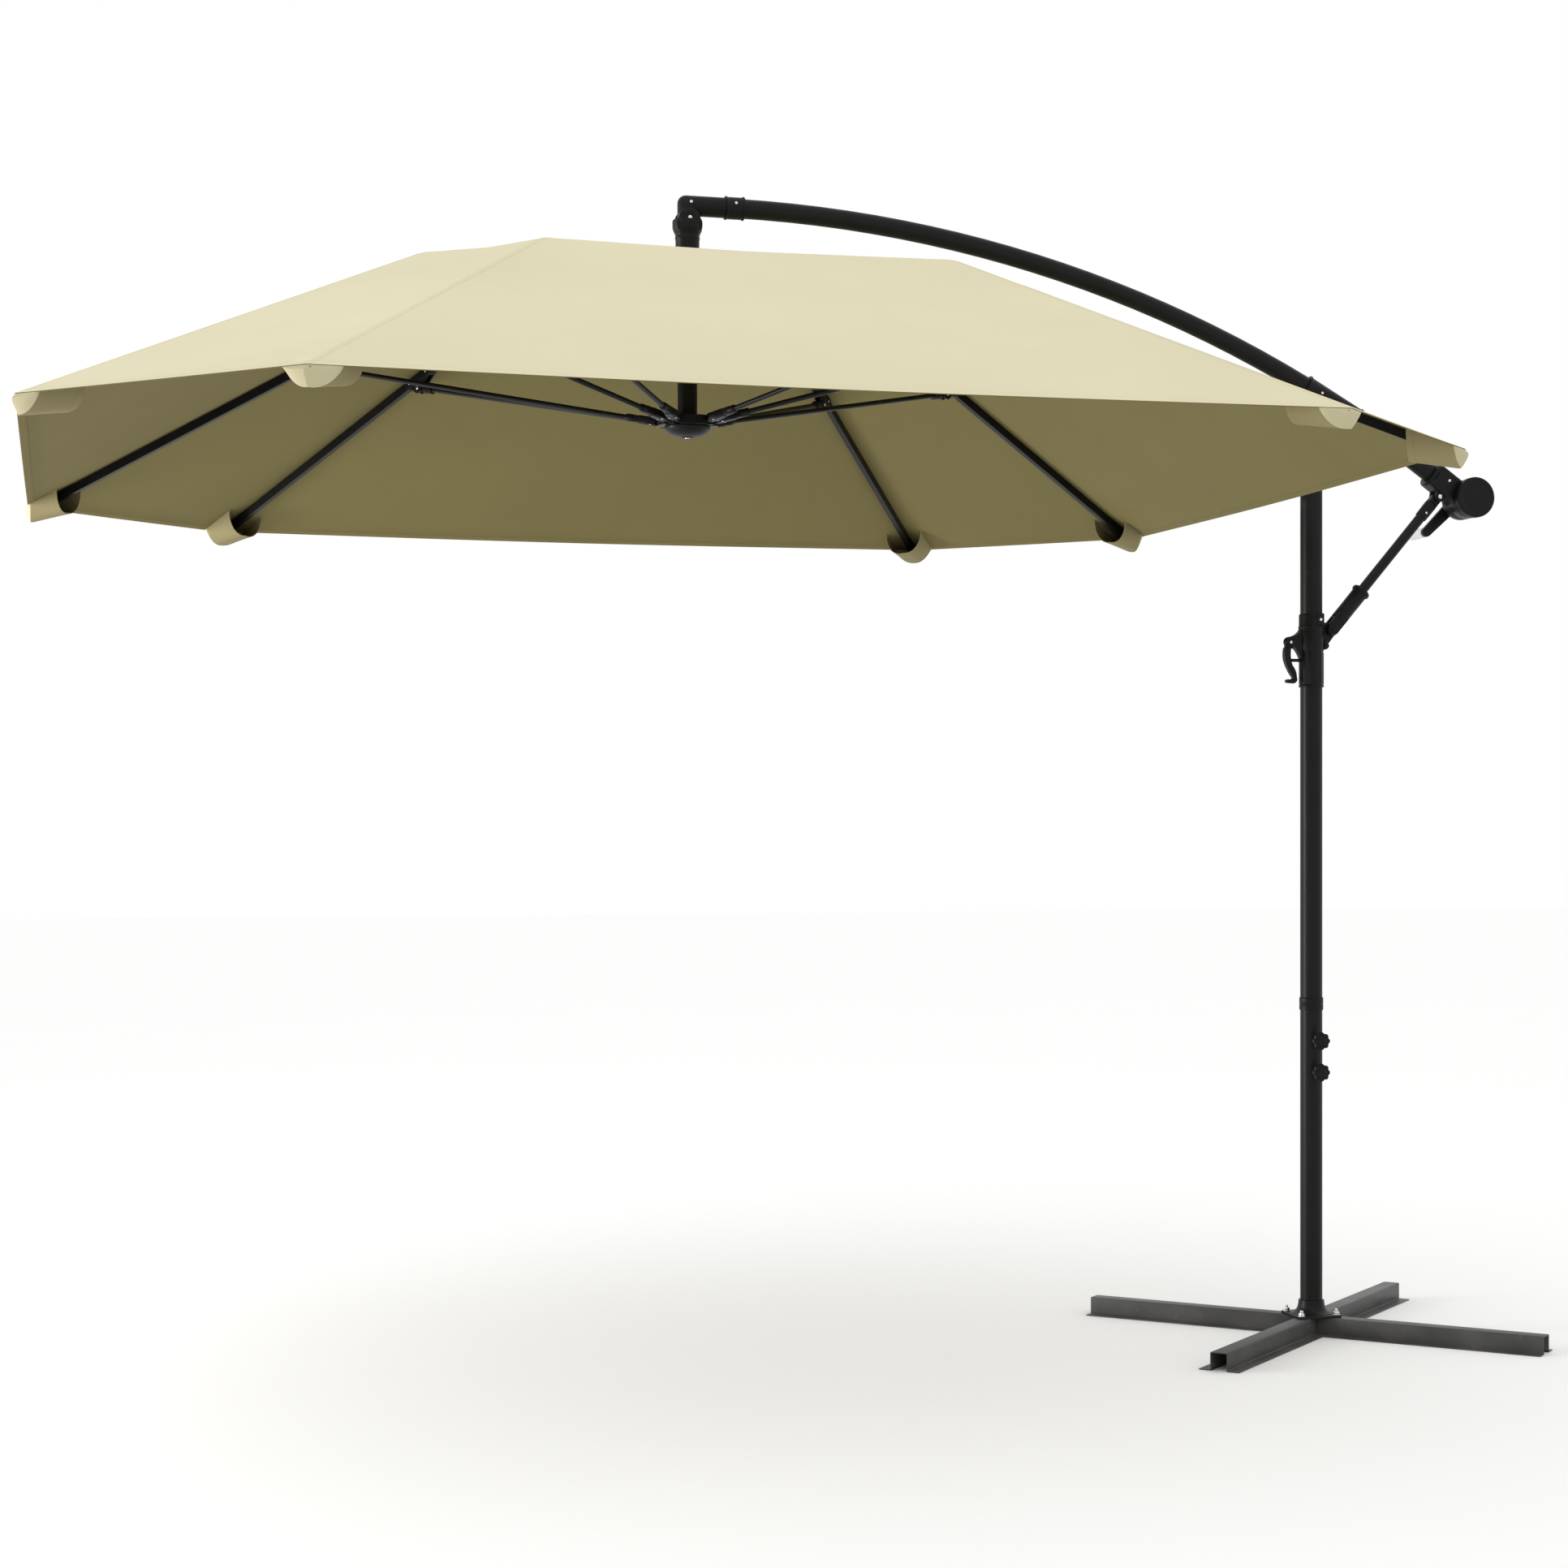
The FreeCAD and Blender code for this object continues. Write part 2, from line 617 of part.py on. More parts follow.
def bend(name, radius, start_x, end_x):
    """A stretch of round bar along the boom's bend, between two places along X."""
    feature = document.addObject("Part::Torus", name)
    feature.Placement = Placement(
        Vector(size("boom_bend_centre_x"), 0, size("boom_bend_centre_z")),
        Rotation(X_AXIS, 90) * Rotation(Z_AXIS, boom_angle(end_x)))
    bind(feature, {"Radius1": "Sizes.boom_bend_radius", "Radius2": radius})
    feature.Angle1 = -180
    feature.Angle2 = 180
    feature.Angle3 = boom_angle(start_x) - boom_angle(end_x)
    return feature


def boom_saddle():
    """The sleeve clamped on the boom over the mast head, with end beads and the hinge lug."""
    start, end = size("saddle_start_x"), size("saddle_end_x")
    pivot = size("boom_pivot_z")
    lug = new_body("saddle_lug")
    lug_outline = outline(
        new_sketch(lug, "XZ_Plane"), (-17, pivot), ((0, pivot - 17), (17, pivot)), (62, pivot + 38),
        (30, pivot + 52), (-10, pivot + 68))
    extrude(lug, "Pad", lug_outline, 26.6, symmetric=True)
    sleeve = fuse(
        "saddle_sleeve", bend("saddle_middle", "Sizes.boom_radius + 3.5", start, end),
        bend("saddle_bead_left", "Sizes.boom_radius + 5.5", start, start + 4),
        bend("saddle_bead_right", "Sizes.boom_radius + 5.5", end - 4, end), lug)
    pin_hole = cylinder("saddle_pin_hole", 6.06, 60, (0, -30, "Sizes.boom_pivot_z"), Y_AXIS)
    bore = bend("saddle_bore", "Sizes.boom_radius + 0.05", start - 20, end + 20)
    return cut("saddle", sleeve, pin_hole, bore)


def boom_elbow():
    """The bent end fitting, with a tongue that the canopy's knuckle turns on."""
    corner = 23
    bend_x = "Sizes.canopy_x + 23"
    top_z = "Sizes.boom_bend_centre_z + Sizes.boom_bend_radius"
    level_length = "Sizes.boom_bend_centre_x - 0.3 - Sizes.canopy_x - 23"
    level = cylinder("elbow_level", "Sizes.boom_radius + 0.8", level_length, (bend_x, 0, top_z), X_AXIS)
    turn = document.addObject("Part::Torus", "elbow_turn")
    bind(turn, {"Radius1": corner, "Radius2": "Sizes.boom_radius + 0.8", "Angle3": 90})
    turn.Angle1 = -180
    turn.Angle2 = 180
    place(turn, (bend_x, 0, top_z + f" - {corner}"))
    turn.Placement.Rotation = Rotation(X_AXIS, 90) * Rotation(Z_AXIS, 90)
    leg = cylinder("elbow_leg", "Sizes.boom_radius + 0.8", 6.5, ("Sizes.canopy_x", 0, "Sizes.knuckle_z"))
    boss = cylinder("elbow_boss", 20, 40, ("Sizes.canopy_x", -20, "Sizes.knuckle_z"), Y_AXIS)
    reliefs = []
    for side in (-1, 1):
        start = ("Sizes.canopy_x", 13.2 * side, "Sizes.knuckle_z")
        reliefs.append(cylinder(f"elbow_relief_{side}", 23.3, 20, start, Y_AXIS * side))
    stub_hole = cylinder("elbow_stub_hole", 5.05, 40, ("Sizes.canopy_x", -20, "Sizes.knuckle_z"), Y_AXIS)
    cord_level = cylinder("elbow_cord_level", 5, "Sizes.boom_bend_centre_x + 5 - Sizes.canopy_x - 20",
                          ("Sizes.canopy_x + 20", 0, top_z), X_AXIS)
    cord_turn = document.addObject("Part::Torus", "elbow_cord_turn")
    bind(cord_turn, {"Radius1": 20, "Radius2": 5, "Angle3": 90})
    cord_turn.Angle1 = -180
    cord_turn.Angle2 = 180
    place(cord_turn, ("Sizes.canopy_x + 20", 0, top_z + " - 20"))
    cord_turn.Placement.Rotation = Rotation(X_AXIS, 90) * Rotation(Z_AXIS, 90)
    cord_drop = cylinder("elbow_cord_drop", 5, 60, ("Sizes.canopy_x", 0, "Sizes.knuckle_z - 50"))
    solid = fuse("elbow_solid", level, turn, leg, boss)
    return cut("elbow", solid, stub_hole, cord_level, cord_turn, cord_drop, *reliefs)


def boom_ring():
    """A short sleeve with two beads that covers the joint of boom and elbow."""
    middle = size("boom_bend_centre_x")
    ring = fuse(
        "ring_sleeve", cylinder("ring_middle", 22.6, 40, (middle - 18, 0, 2374), X_AXIS),
        cylinder("ring_bead_left", 24.4, 4, (middle - 18, 0, 2374), X_AXIS),
        cylinder("ring_bead_right", 24.4, 4, (middle + 18, 0, 2374), X_AXIS))
    bore_boom = cylinder("ring_bore_boom", 20.25, 30, (middle, 0, 2374), X_AXIS)
    bore_elbow = cylinder("ring_bore_elbow", 20.85, 30, (middle - 30, 0, 2374), X_AXIS)
    return cut("boom_end_ring", ring, bore_boom, bore_elbow)


def rivet(name, head_radius, base, axis):
    """A low domed rivet head, standing on a surface."""
    dome = sphere(name + "_ball", head_radius * 1.25, base)
    seat = cylinder(name + "_seat", head_radius, head_radius, base, axis)
    feature = document.addObject("Part::Common", name)
    feature.Base = dome
    feature.Tool = seat
    return feature


neck_angle = 90 - boom_angle(size("boom_end_x"))
neck_axis = Vector(math.cos(math.radians(neck_angle)), 0, -math.sin(math.radians(neck_angle)))
end_angle = math.radians(boom_angle(size("boom_end_x")))
neck_start = Vector(
    size("boom_end_x"), 0, size("boom_bend_centre_z") + size("boom_bend_radius") * math.sin(end_angle))
neck_frame = Placement(neck_start, Rotation(Y_AXIS, neck_angle))


def winch_housing():
    """A hollow drum with a neck over the boom's end and two lugs for the strut's head."""
    neck = document.addObject("Part::Box", "winch_neck_block")
    bind(neck, {"Length": 72, "Width": 50, "Height": 54})
    neck.Placement = neck_frame * Placement(Vector(-4, -25, -27), Rotation())
    neck_rounded = document.addObject("Part::Fillet", "winch_neck")
    neck_rounded.Base = neck
    document.recompute()
    long_edges = [
        index for index, edge in enumerate(neck.Shape.Edges, start=1)
        if edge.Length > 71 and abs(edge.tangentAt(edge.FirstParameter).dot(neck_axis)) > 0.99]
    neck_rounded.Edges = [(index, 9, 9) for index in long_edges]
    flange = document.addObject("Part::Cylinder", "winch_neck_flange")
    bind(flange, {"Radius": 30.5, "Height": 7})
    flange.Placement = neck_frame * Placement(Vector(-8, 0, 0), Rotation(Z_AXIS, X_AXIS))
    drum = cylinder("winch_drum", "Sizes.winch_radius - 1.5", "Sizes.winch_back_y + 28",
                    ("Sizes.winch_x", -28, "Sizes.winch_z"), Y_AXIS)
    lugs = new_body("winch_lugs")
    head_x, head_z = size("strut_head_x"), size("strut_head_z")
    lug_outline = outline(
        new_sketch(lugs, "XZ_Plane"), (head_x - 6, head_z + 30), (head_x - 11, head_z - 3),
        ((head_x + 2, head_z - 11.5), (head_x + 11, head_z - 4)), (head_x + 34, head_z + 10))
    hole(lug_outline, (head_x, head_z), 5)
    extrude(lugs, "Pad", lug_outline, 36, symmetric=True)
    gap = new_sketch(lugs, "XZ_Plane")
    outline(gap, (head_x - 60, head_z - 60), (head_x + 60, head_z - 60), (head_x + 60, head_z + 60),
            (head_x - 60, head_z + 60))
    extrude(lugs, "Pocket", gap, 21, symmetric=True)
    throat = document.addObject("Part::Cylinder", "winch_throat")
    bind(throat, {"Radius": 14.5, "Height": 60})
    throat.Placement = Placement(Vector(head_x, 30, head_z), Rotation(Z_AXIS, -Y_AXIS))
    throat_slice = box("winch_throat_slice", (60, 21, 60), (head_x - 30, -10.5, head_z - 30))
    throat_common = document.addObject("Part::Common", "winch_throat_gap")
    throat_common.Base = throat
    throat_common.Tool = throat_slice
    bore = document.addObject("Part::Cylinder", "winch_neck_bore")
    bind(bore, {"Radius": "Sizes.boom_radius + 0.25", "Height": 10})
    bore.Placement = neck_frame * Placement(Vector(-9, 0, 0), Rotation(Z_AXIS, X_AXIS))
    cord_hole = document.addObject("Part::Cylinder", "winch_cord_hole")
    bind(cord_hole, {"Radius": 9, "Height": 80})
    cord_hole.Placement = neck_frame * Placement(Vector(-10, 0, 0), Rotation(Z_AXIS, X_AXIS))
    hollow = cylinder("winch_hollow", "Sizes.winch_radius - 4.5", "Sizes.winch_back_y + 28 - 4",
                      ("Sizes.winch_x", -28, "Sizes.winch_z"), Y_AXIS)
    shaft_hole = cylinder("winch_shaft_hole", 7.05, 60, ("Sizes.winch_x", 0, "Sizes.winch_z"), Y_AXIS)
    solid = fuse("winch_solid", neck_rounded, flange, drum, lugs)
    return cut("winch", solid, bore, cord_hole, hollow, shaft_hole, throat_common)


def winch_cap():
    """The plain round cover, a shallow cup with a rounded rim."""
    body = new_body("winch_cap")
    radius = size("winch_radius")
    depth = -28.2 - size("winch_front_y")
    cup = outline(
        new_sketch(body, "XZ_Plane"), (0, 0), (radius, 0), (radius, depth - 4),
        ((radius - 1.3, depth - 1.3), (radius - 5, depth)), (0, depth))
    revolve(body, cup)
    inside = hole(new_sketch(body, "XY_Plane", depth - 3), (0, 0), radius - 4.5)
    extrude(body, "Pocket", inside, depth)
    body.Placement = Placement(Vector(size("winch_x"), -28.2, size("winch_z")), Rotation(Z_AXIS, -Y_AXIS))
    return body


def spool():
    """Cord spool on the crank's shaft."""
    core = cylinder("spool_core", 16, 56, ("Sizes.winch_x", -20, "Sizes.winch_z"), Y_AXIS)
    cheek_front = cylinder("spool_cheek_front", 36, 2.5, ("Sizes.winch_x", -22, "Sizes.winch_z"), Y_AXIS)
    cheek_back = cylinder("spool_cheek_back", 36, 2.5, ("Sizes.winch_x", 33, "Sizes.winch_z"), Y_AXIS)
    shaft = cylinder("spool_shaft", 7, 72, ("Sizes.winch_x", -24, "Sizes.winch_z"), Y_AXIS)
    return fuse("winch_spool_solid", core, cheek_front, cheek_back, shaft)


crank_turn = math.radians(size("crank_angle"))
crank_end = Vector(
    size("winch_x") + size("crank_throw") * math.cos(crank_turn), 0,
    size("winch_z") + size("crank_throw") * math.sin(crank_turn))


def crank_arm():
    """A tapered arm with a boss at each end and the pin that the grip spins on."""
    body = new_body("crank_arm")
    start, end = Vector(size("winch_x"), size("winch_z")), Vector(crank_end.x, crank_end.z)
    along = (end - start).normalize()
    across = Vector(-along.y, along.x)

    def at(distance, side):
        point = start + along * distance + across * side
        return (point.x, point.y)

    throw = size("crank_throw")
    arm = outline(
        new_sketch(body, "XZ_Plane", -50), at(0, 15), (at(-15, 0), at(0, -15)), at(throw, -10.5),
        (at(throw + 10.5, 0), at(throw, 10.5)))
    feature = extrude(body, "Pad", arm, 12)
    feature.Reversed = True
    boss = hole(new_sketch(body, "XZ_Plane", -43.5), (start.x, start.y), 13)
    boss_pad = extrude(body, "Pad", boss, 8)
    boss_pad.Reversed = True
    socket = hole(new_sketch(body, "XZ_Plane", -43.5), (start.x, start.y), 7.02)
    extrude(body, "Pocket", socket, 5.5)
    grip_pin = hole(new_sketch(body, "XZ_Plane", -60), (end.x, end.y), 4)
    pin_pad = extrude(body, "Pad", grip_pin, "Sizes.grip_length - 4")
    pin_pad.Reversed = True
    document.recompute()
    return body


def crank_grip():
    """A barrel grip with a rounded end, loose on its pin."""
    body = new_body("crank_grip")
    length = size("grip_length")
    radius = size("grip_radius")
    barrel = outline(
        new_sketch(body, "XZ_Plane"), (4.06, 0), (radius - 2.5, 0), (radius - 1, 1.5),
        ((radius, length * 0.55), (radius - 1.5, length - 6)),
        ((radius - 3, length - 1.8), (radius - 7, length)),
        (0, length), (0, length - 3.5), (4.06, length - 3.5))
    revolve(body, barrel)
    body.Placement = Placement(Vector(crank_end.x, 62.4, crank_end.z), Rotation(Z_AXIS, Y_AXIS))
    return body


boom_ends = (size("boom_bend_centre_x"), size("boom_end_x"))
boom_wall = bend("boom_outer", "Sizes.boom_radius", *boom_ends)
boom_bore = bend("boom_bore", "Sizes.boom_radius - Sizes.boom_wall", *boom_ends)
node("boom_tube", cut("boom", boom_wall, boom_bore))
node("boom_saddle", boom_saddle())
node("boom_elbow", boom_elbow())
node("boom_ring", boom_ring())
node("winch_housing", winch_housing())
node("winch_cap", winch_cap())
node("winch_spool", spool())
node("crank_arm", crank_arm())
node("crank_grip", crank_grip())

cord_top = size("boom_bend_centre_z") + size("boom_bend_radius")
cord_radius = 2
cord_in_boom = bend("cord_in_boom", cord_radius, *boom_ends)
cord_level = cylinder("cord_level", cord_radius, "Sizes.boom_bend_centre_x - Sizes.canopy_x - 20",
                      ("Sizes.canopy_x + 20", 0, cord_top), X_AXIS)
cord_corner = document.addObject("Part::Torus", "cord_corner")
bind(cord_corner, {"Radius1": 20, "Radius2": cord_radius, "Angle3": 90})
cord_corner.Angle1 = -180
cord_corner.Angle2 = 180
place(cord_corner, ("Sizes.canopy_x + 20", 0, cord_top - 20))
cord_corner.Placement.Rotation = Rotation(X_AXIS, 90) * Rotation(Z_AXIS, 90)
cord_end = document.addObject("Part::Cylinder", "cord_to_spool")
bind(cord_end, {"Radius": cord_radius, "Height": 58})
cord_end.Placement = Placement(neck_start, Rotation(Z_AXIS, neck_axis))
node("lift_cord", fuse("cord_solid", cord_in_boom, cord_level, cord_corner, cord_end))
cord_drop = cylinder("cord_drop_solid", cord_radius, cord_top - 20.2 - 1912, ("Sizes.canopy_x", 0, 1912))
node("lift_cord_drop", cord_drop)

fasteners = [
    cylinder("strut_head_pin", 5, 40, ("Sizes.strut_head_x", -20, "Sizes.strut_head_z"), Y_AXIS),
    rivet("rivet_elbow_front", 3, ("Sizes.canopy_x + 8", -18.6, "Sizes.knuckle_z + 38"), -Y_AXIS),
    rivet("rivet_elbow_back", 3, ("Sizes.canopy_x + 8", 18.6, "Sizes.knuckle_z + 38"), Y_AXIS),
    rivet("rivet_ring_front", 3, ("Sizes.boom_bend_centre_x + 2", -21.6, 2381), -Y_AXIS),
    rivet("rivet_ring_back", 3, ("Sizes.boom_bend_centre_x + 2", 21.6, 2381), Y_AXIS),
]
neck_rivet = neck_start + neck_axis * 32
for side in (-1, 1):
    seat = (neck_rivet.x + 3, 25 * side, neck_rivet.z + 6)
    fasteners.append(rivet(f"rivet_neck_{side + 1}", 3.4, seat, Y_AXIS * side))
node("boom_fasteners", group("boom_pins_and_rivets", *fasteners))


# ---------------------------------------------------------------- canopy head and runner

RIB_HEADINGS = []
for quarter in (0, 90, 180, 270):
    RIB_HEADINGS.append(quarter + 45 - size("pair_angle") / 2)
    RIB_HEADINGS.append(quarter + 45 + size("pair_angle") / 2)

canopy_axis = Vector(size("canopy_x"), 0, 0)


def head_knuckle():
    """Two cheeks over the elbow's tongue, on a ball that runs down into the sleeve."""
    ball = sphere("knuckle_ball", 31, ("Sizes.canopy_x", 0, "Sizes.knuckle_z"))
    ball_half = box("knuckle_ball_half", (80, 80, 24), ("Sizes.canopy_x - 40", -40, "Sizes.knuckle_z - 26"))
    bowl = document.addObject("Part::Common", "knuckle_bowl")
    bowl.Base = ball
    bowl.Tool = ball_half
    cheeks = cylinder("knuckle_cheeks", 22.3, 51, ("Sizes.canopy_x", -25.5, "Sizes.knuckle_z"), Y_AXIS)
    bosses = cylinder("knuckle_bosses", 19, 56, ("Sizes.canopy_x", -28, "Sizes.knuckle_z"), Y_AXIS)
    sleeve_length = "Sizes.knuckle_z - 20 - Sizes.head_sleeve_bottom"
    sleeve = cylinder("head_sleeve", "Sizes.head_sleeve_radius", sleeve_length,
                      ("Sizes.canopy_x", 0, "Sizes.head_sleeve_bottom"))
    solid = fuse("knuckle_solid", bowl, cheeks, bosses, sleeve)
    throat = box("knuckle_throat", (80, 27, 80), ("Sizes.canopy_x - 40", -13.5, "Sizes.knuckle_z - 21"))
    bore_base = ("Sizes.canopy_x", 0, "Sizes.knuckle_z - 150")
    bore = cylinder("head_bore", "Sizes.post_radius + 0.6", 200, bore_base)
    upper_bore = cylinder("head_bore_top", 9, 200, ("Sizes.canopy_x", 0, "Sizes.knuckle_z - 60"))
    bore_end = box("head_bore_end", (80, 80, 200), ("Sizes.canopy_x - 40", -40, "Sizes.post_top + 3"))
    low_bore = cut("head_low_bore", bore, bore_end)
    stub = cylinder("knuckle_stub_hole", 5.02, 80, ("Sizes.canopy_x", -40, "Sizes.knuckle_z"), Y_AXIS)
    return cut("knuckle", solid, throat, low_bore, upper_bore, stub)


def hub(name, pivot_alias, half_height, inner_radius, gap):
    """A disc with a slot for each rib or strut and a wire ring that they hang on."""
    body = new_body(name)
    disc = new_sketch(body, "XY_Plane", -half_height)
    hole(disc, (0, 0), size("hub_radius"))
    hole(disc, (0, 0), inner_radius)
    extrude(body, "Pad", disc, 2 * half_height)
    slots = new_sketch(body, "XY_Plane", half_height + 1)
    for heading in RIB_HEADINGS:
        turn = Rotation(Z_AXIS, heading)
        corners = [turn.multVec(Vector(*corner)) for corner in (
            (39, -gap / 2), (80, -gap / 2), (80, gap / 2), (39, gap / 2))]
        outline(slots, *[(corner.x, corner.y) for corner in corners])
    extrude(body, "Pocket", slots, 2 * half_height + 2)
    wire = torus(name + "_wire", "Sizes.hub_pivot_radius", "Sizes.hub_wire_radius", (0, 0, 0))
    whole = fuse(name + "_with_wire", body, wire)
    bind(whole, {"Placement.Base.x": "Sizes.canopy_x", "Placement.Base.z": "Sizes." + pivot_alias})
    return whole


def crown_cap():
    body = new_body("crown_cap")
    inner = size("head_sleeve_radius") + 0.05
    low = size("crown_pivot_z") + 15
    cap = outline(
        new_sketch(body, "XZ_Plane"), (inner, low), (46, low), (46, low + 1.5),
        ((38, low + 3.6), (29, low + 4.5)),
        (27, low + 9), (inner, low + 9))
    revolve(body, cap)
    bind(body, {"Placement.Base.x": "Sizes.canopy_x"})
    return body


def runner_hub():
    """The runner's slotted disc with a bowl under it and a screw at the very bottom."""
    disc = hub("runner_disc", "runner_pivot_z", 9, size("post_radius") + 0.05, 9)
    body = new_body("runner_bowl")
    top = size("runner_pivot_z") - 9.2
    bowl = outline(
        new_sketch(body, "XZ_Plane"), (0, top - 12), (size("post_radius") + 0.05, top - 12),
        (size("post_radius") + 0.05, top), (44, top), ((37, top - 12), (22, top - 20)), (18, top - 22),
        (0, top - 22))
    revolve(body, bowl)
    bind(body, {"Placement.Base.x": "Sizes.canopy_x"})
    screw = rivet("runner_screw", 4, ("Sizes.canopy_x", 0, top - 22), -Z_AXIS)
    return group("runner_hub_set", disc, body, screw)


node("head_knuckle", head_knuckle())
stubs = []
for side in (-1, 1):
    inner_end = ("Sizes.canopy_x", 8 * side, "Sizes.knuckle_z")
    outer_end = ("Sizes.canopy_x", 28 * side, "Sizes.knuckle_z")
    shank = cylinder(f"knuckle_stub_{side + 1}", 5, 21, inner_end, Y_AXIS * side)
    screw_head = rivet(f"knuckle_screw_{side + 1}", 4, outer_end, Y_AXIS * side)
    stubs.append(fuse(f"knuckle_bolt_{side + 1}", shank, screw_head))
node("knuckle_bolts", group("knuckle_bolt_pair", *stubs))
node("crown_hub", hub("crown_disc", "crown_pivot_z", 9, size("head_sleeve_radius") + 0.05, 9))
node("crown_cap", crown_cap())
post = tube("centre_post", "Sizes.post_radius", "Sizes.post_radius - 1.5", "Sizes.post_top - 1909.2",
            ("Sizes.canopy_x", 0, 1909.2))
node("centre_post", post)
node("runner_hub", runner_hub())


# ---------------------------------------------------------------- ribs, runner struts, fabric

crown = Vector(size("hub_pivot_radius"), 0, size("crown_pivot_z"))
runner = Vector(size("hub_pivot_radius"), 0, size("runner_pivot_z"))
hang = Vector(size("strut_pivot_radius"), 0, (crown.z + runner.z) / 2)
bend_point = Vector(size("bend_radius"), 0, size("bend_z") - size("rib_drop"))
tip_slope = (size("bend_z") - size("tip_z")) / (size("tip_radius") - size("bend_radius"))
tip_reach = size("tip_radius") - 16
tip_point = Vector(tip_reach, 0, bend_point.z - 1 - tip_slope * (tip_reach - size("bend_radius")))


def flat_wire(points):
    return Part.makePolygon([Vector(*point) for point in points] + [Vector(*points[0])])


def plate(points, width):
    """A plate across Y, from its outline in the rib's plane."""
    face = Part.Face(flat_wire([(x, -width / 2, z) for x, z in points]))
    return face.extrude(Vector(0, width, 0))


def cross_pin(radius, width, centre):
    return Part.makeCylinder(radius, width, Vector(centre.x, -width / 2, centre.z), Y_AXIS)


def strip(points, half):
    """Outline of a bent strip of constant width about a line of points in the rib's plane."""
    upper, lower = [], []
    for index, point in enumerate(points):
        before = point - points[index - 1] if index > 0 else points[index + 1] - point
        after = points[index + 1] - point if index < len(points) - 1 else before
        before, after = before.normalize(), after.normalize()
        middle = (before + after).normalize()
        normal = Vector(-middle.z, 0, middle.x)
        reach = half / middle.dot(after)
        upper.append((point.x + normal.x * reach, point.z + normal.z * reach))
        lower.append((point.x - normal.x * reach, point.z - normal.z * reach))
    return upper + lower[::-1]


EYE_CLEARANCE = 15.8


def rib_solids():
    """A bent box-section tube with an eye at the crown, a bracket for its strut and a tip plug."""
    inward = (bend_point - crown).normalize()
    start = crown + inward * EYE_CLEARANCE
    width, height, wall = size("rib_width"), size("rib_height"), size("rib_wall")
    line = [start, bend_point, tip_point]
    shell = plate(strip(line, height / 2), width)
    past_tip = tip_point + (tip_point - bend_point).normalize()
    cavity = plate(strip([start + inward * 6, bend_point, past_tip], height / 2 - wall), width - 2 * wall)
    eye = plate(strip([crown, crown + inward * (EYE_CLEARANCE + 2)], 7), 8).fuse(cross_pin(7, 8, crown))
    bore = cross_pin(size("hub_wire_radius") + 0.5, 20, crown)
    tube_solid = shell.cut(cavity).fuse(eye).cut(bore).removeSplitter()
    outward = (tip_point - bend_point).normalize()
    tip = plate(strip([tip_point + outward * 0.05, tip_point + outward * 12], height / 2 + 0.5), width + 4)
    centre = bend_point + outward * ((hang.x - bend_point.x) / outward.x)
    side_line = [centre - outward * 45, centre + outward * 45]
    profile = strip(side_line, height / 2 - 1)
    low = [(hang.x + 9, hang.z - 3), (hang.x, hang.z - 8), (hang.x - 9, hang.z - 3)]
    cheek = plate(profile[:2] + [profile[2]] + low + [profile[3]], width + 5)
    slot = plate([(600, 1900), (1100, 1900), (1100, 2300), (600, 2300)], width + 0.1)
    pin_solid = cross_pin(2.5, width + 8, hang)
    bracket = cheek.cut(slot).fuse(pin_solid).removeSplitter()
    return [tube_solid, tip, bracket]


def strut_solids():
    """A round tube with a flat eye at the rib and a forked plastic end at the runner."""
    span = hang - runner
    along = Vector(span).normalize()
    first, last = runner + along * EYE_CLEARANCE, hang - along * 14
    rod = Part.makeCylinder(5.5, first.distanceToPoint(last), first, along)
    rod = rod.cut(Part.makeCylinder(4.4, first.distanceToPoint(last) - 60, first + along * 30, along))
    root = plate(strip([runner, runner + along * 20], 7), 8).fuse(cross_pin(7, 8, runner))
    sleeve = plate(strip([first, runner + along * 56], 8.5), 13)
    eye = plate(strip([hang - along * 30, hang], 6), 8).fuse(cross_pin(6, 8, hang))
    solid = rod.fuse([root, sleeve, eye])
    solid = solid.cut(cross_pin(size("hub_wire_radius") + 0.5, 20, runner)).cut(cross_pin(2.56, 20, hang))
    return [solid.removeSplitter()]


def panel_solid(before, after):
    """The fabric carried by one rib: flat panels to the middle of the gap on each side."""
    thickness = size("fabric_thickness")
    rise = size("rib_drop") + (crown.z - bend_point.z) * (bend_point.x - size("fabric_inner_radius")) / (
        bend_point.x - crown.x)
    rings = [
        (size("fabric_inner_radius"), bend_point.z + rise),
        (size("bend_radius"), size("bend_z")),
        (size("tip_radius"), size("tip_z"))]
    pieces = []
    for half_gap, side in ((before, -1), (after, 1)):
        angle = math.radians(half_gap) * side
        for (near, near_z), (far, far_z) in zip(rings, rings[1:]):
            middle_near, middle_far = near * math.cos(angle), far * math.cos(angle)
            face = Part.Face(flat_wire([
                (near, 0, near_z), (far, 0, far_z),
                (middle_far * math.cos(angle), middle_far * math.sin(angle), far_z),
                (middle_near * math.cos(angle), middle_near * math.sin(angle), near_z)]))
            pieces.append(face.extrude(Vector(0, 0, -thickness)))
    solid = pieces[0].fuse(pieces[1:]).removeSplitter()
    return solid


def spoke(name, solids, heading):
    """A copy of a shape at its heading round the canopy's axis."""
    feature = document.addObject("Part::Feature", name)
    copies = [item.copy() for item in solids]
    feature.Shape = copies[0] if len(copies) == 1 else Part.makeCompound(copies)
    feature.Placement = Placement(canopy_axis, Rotation(Z_AXIS, heading))
    return node(name, feature)


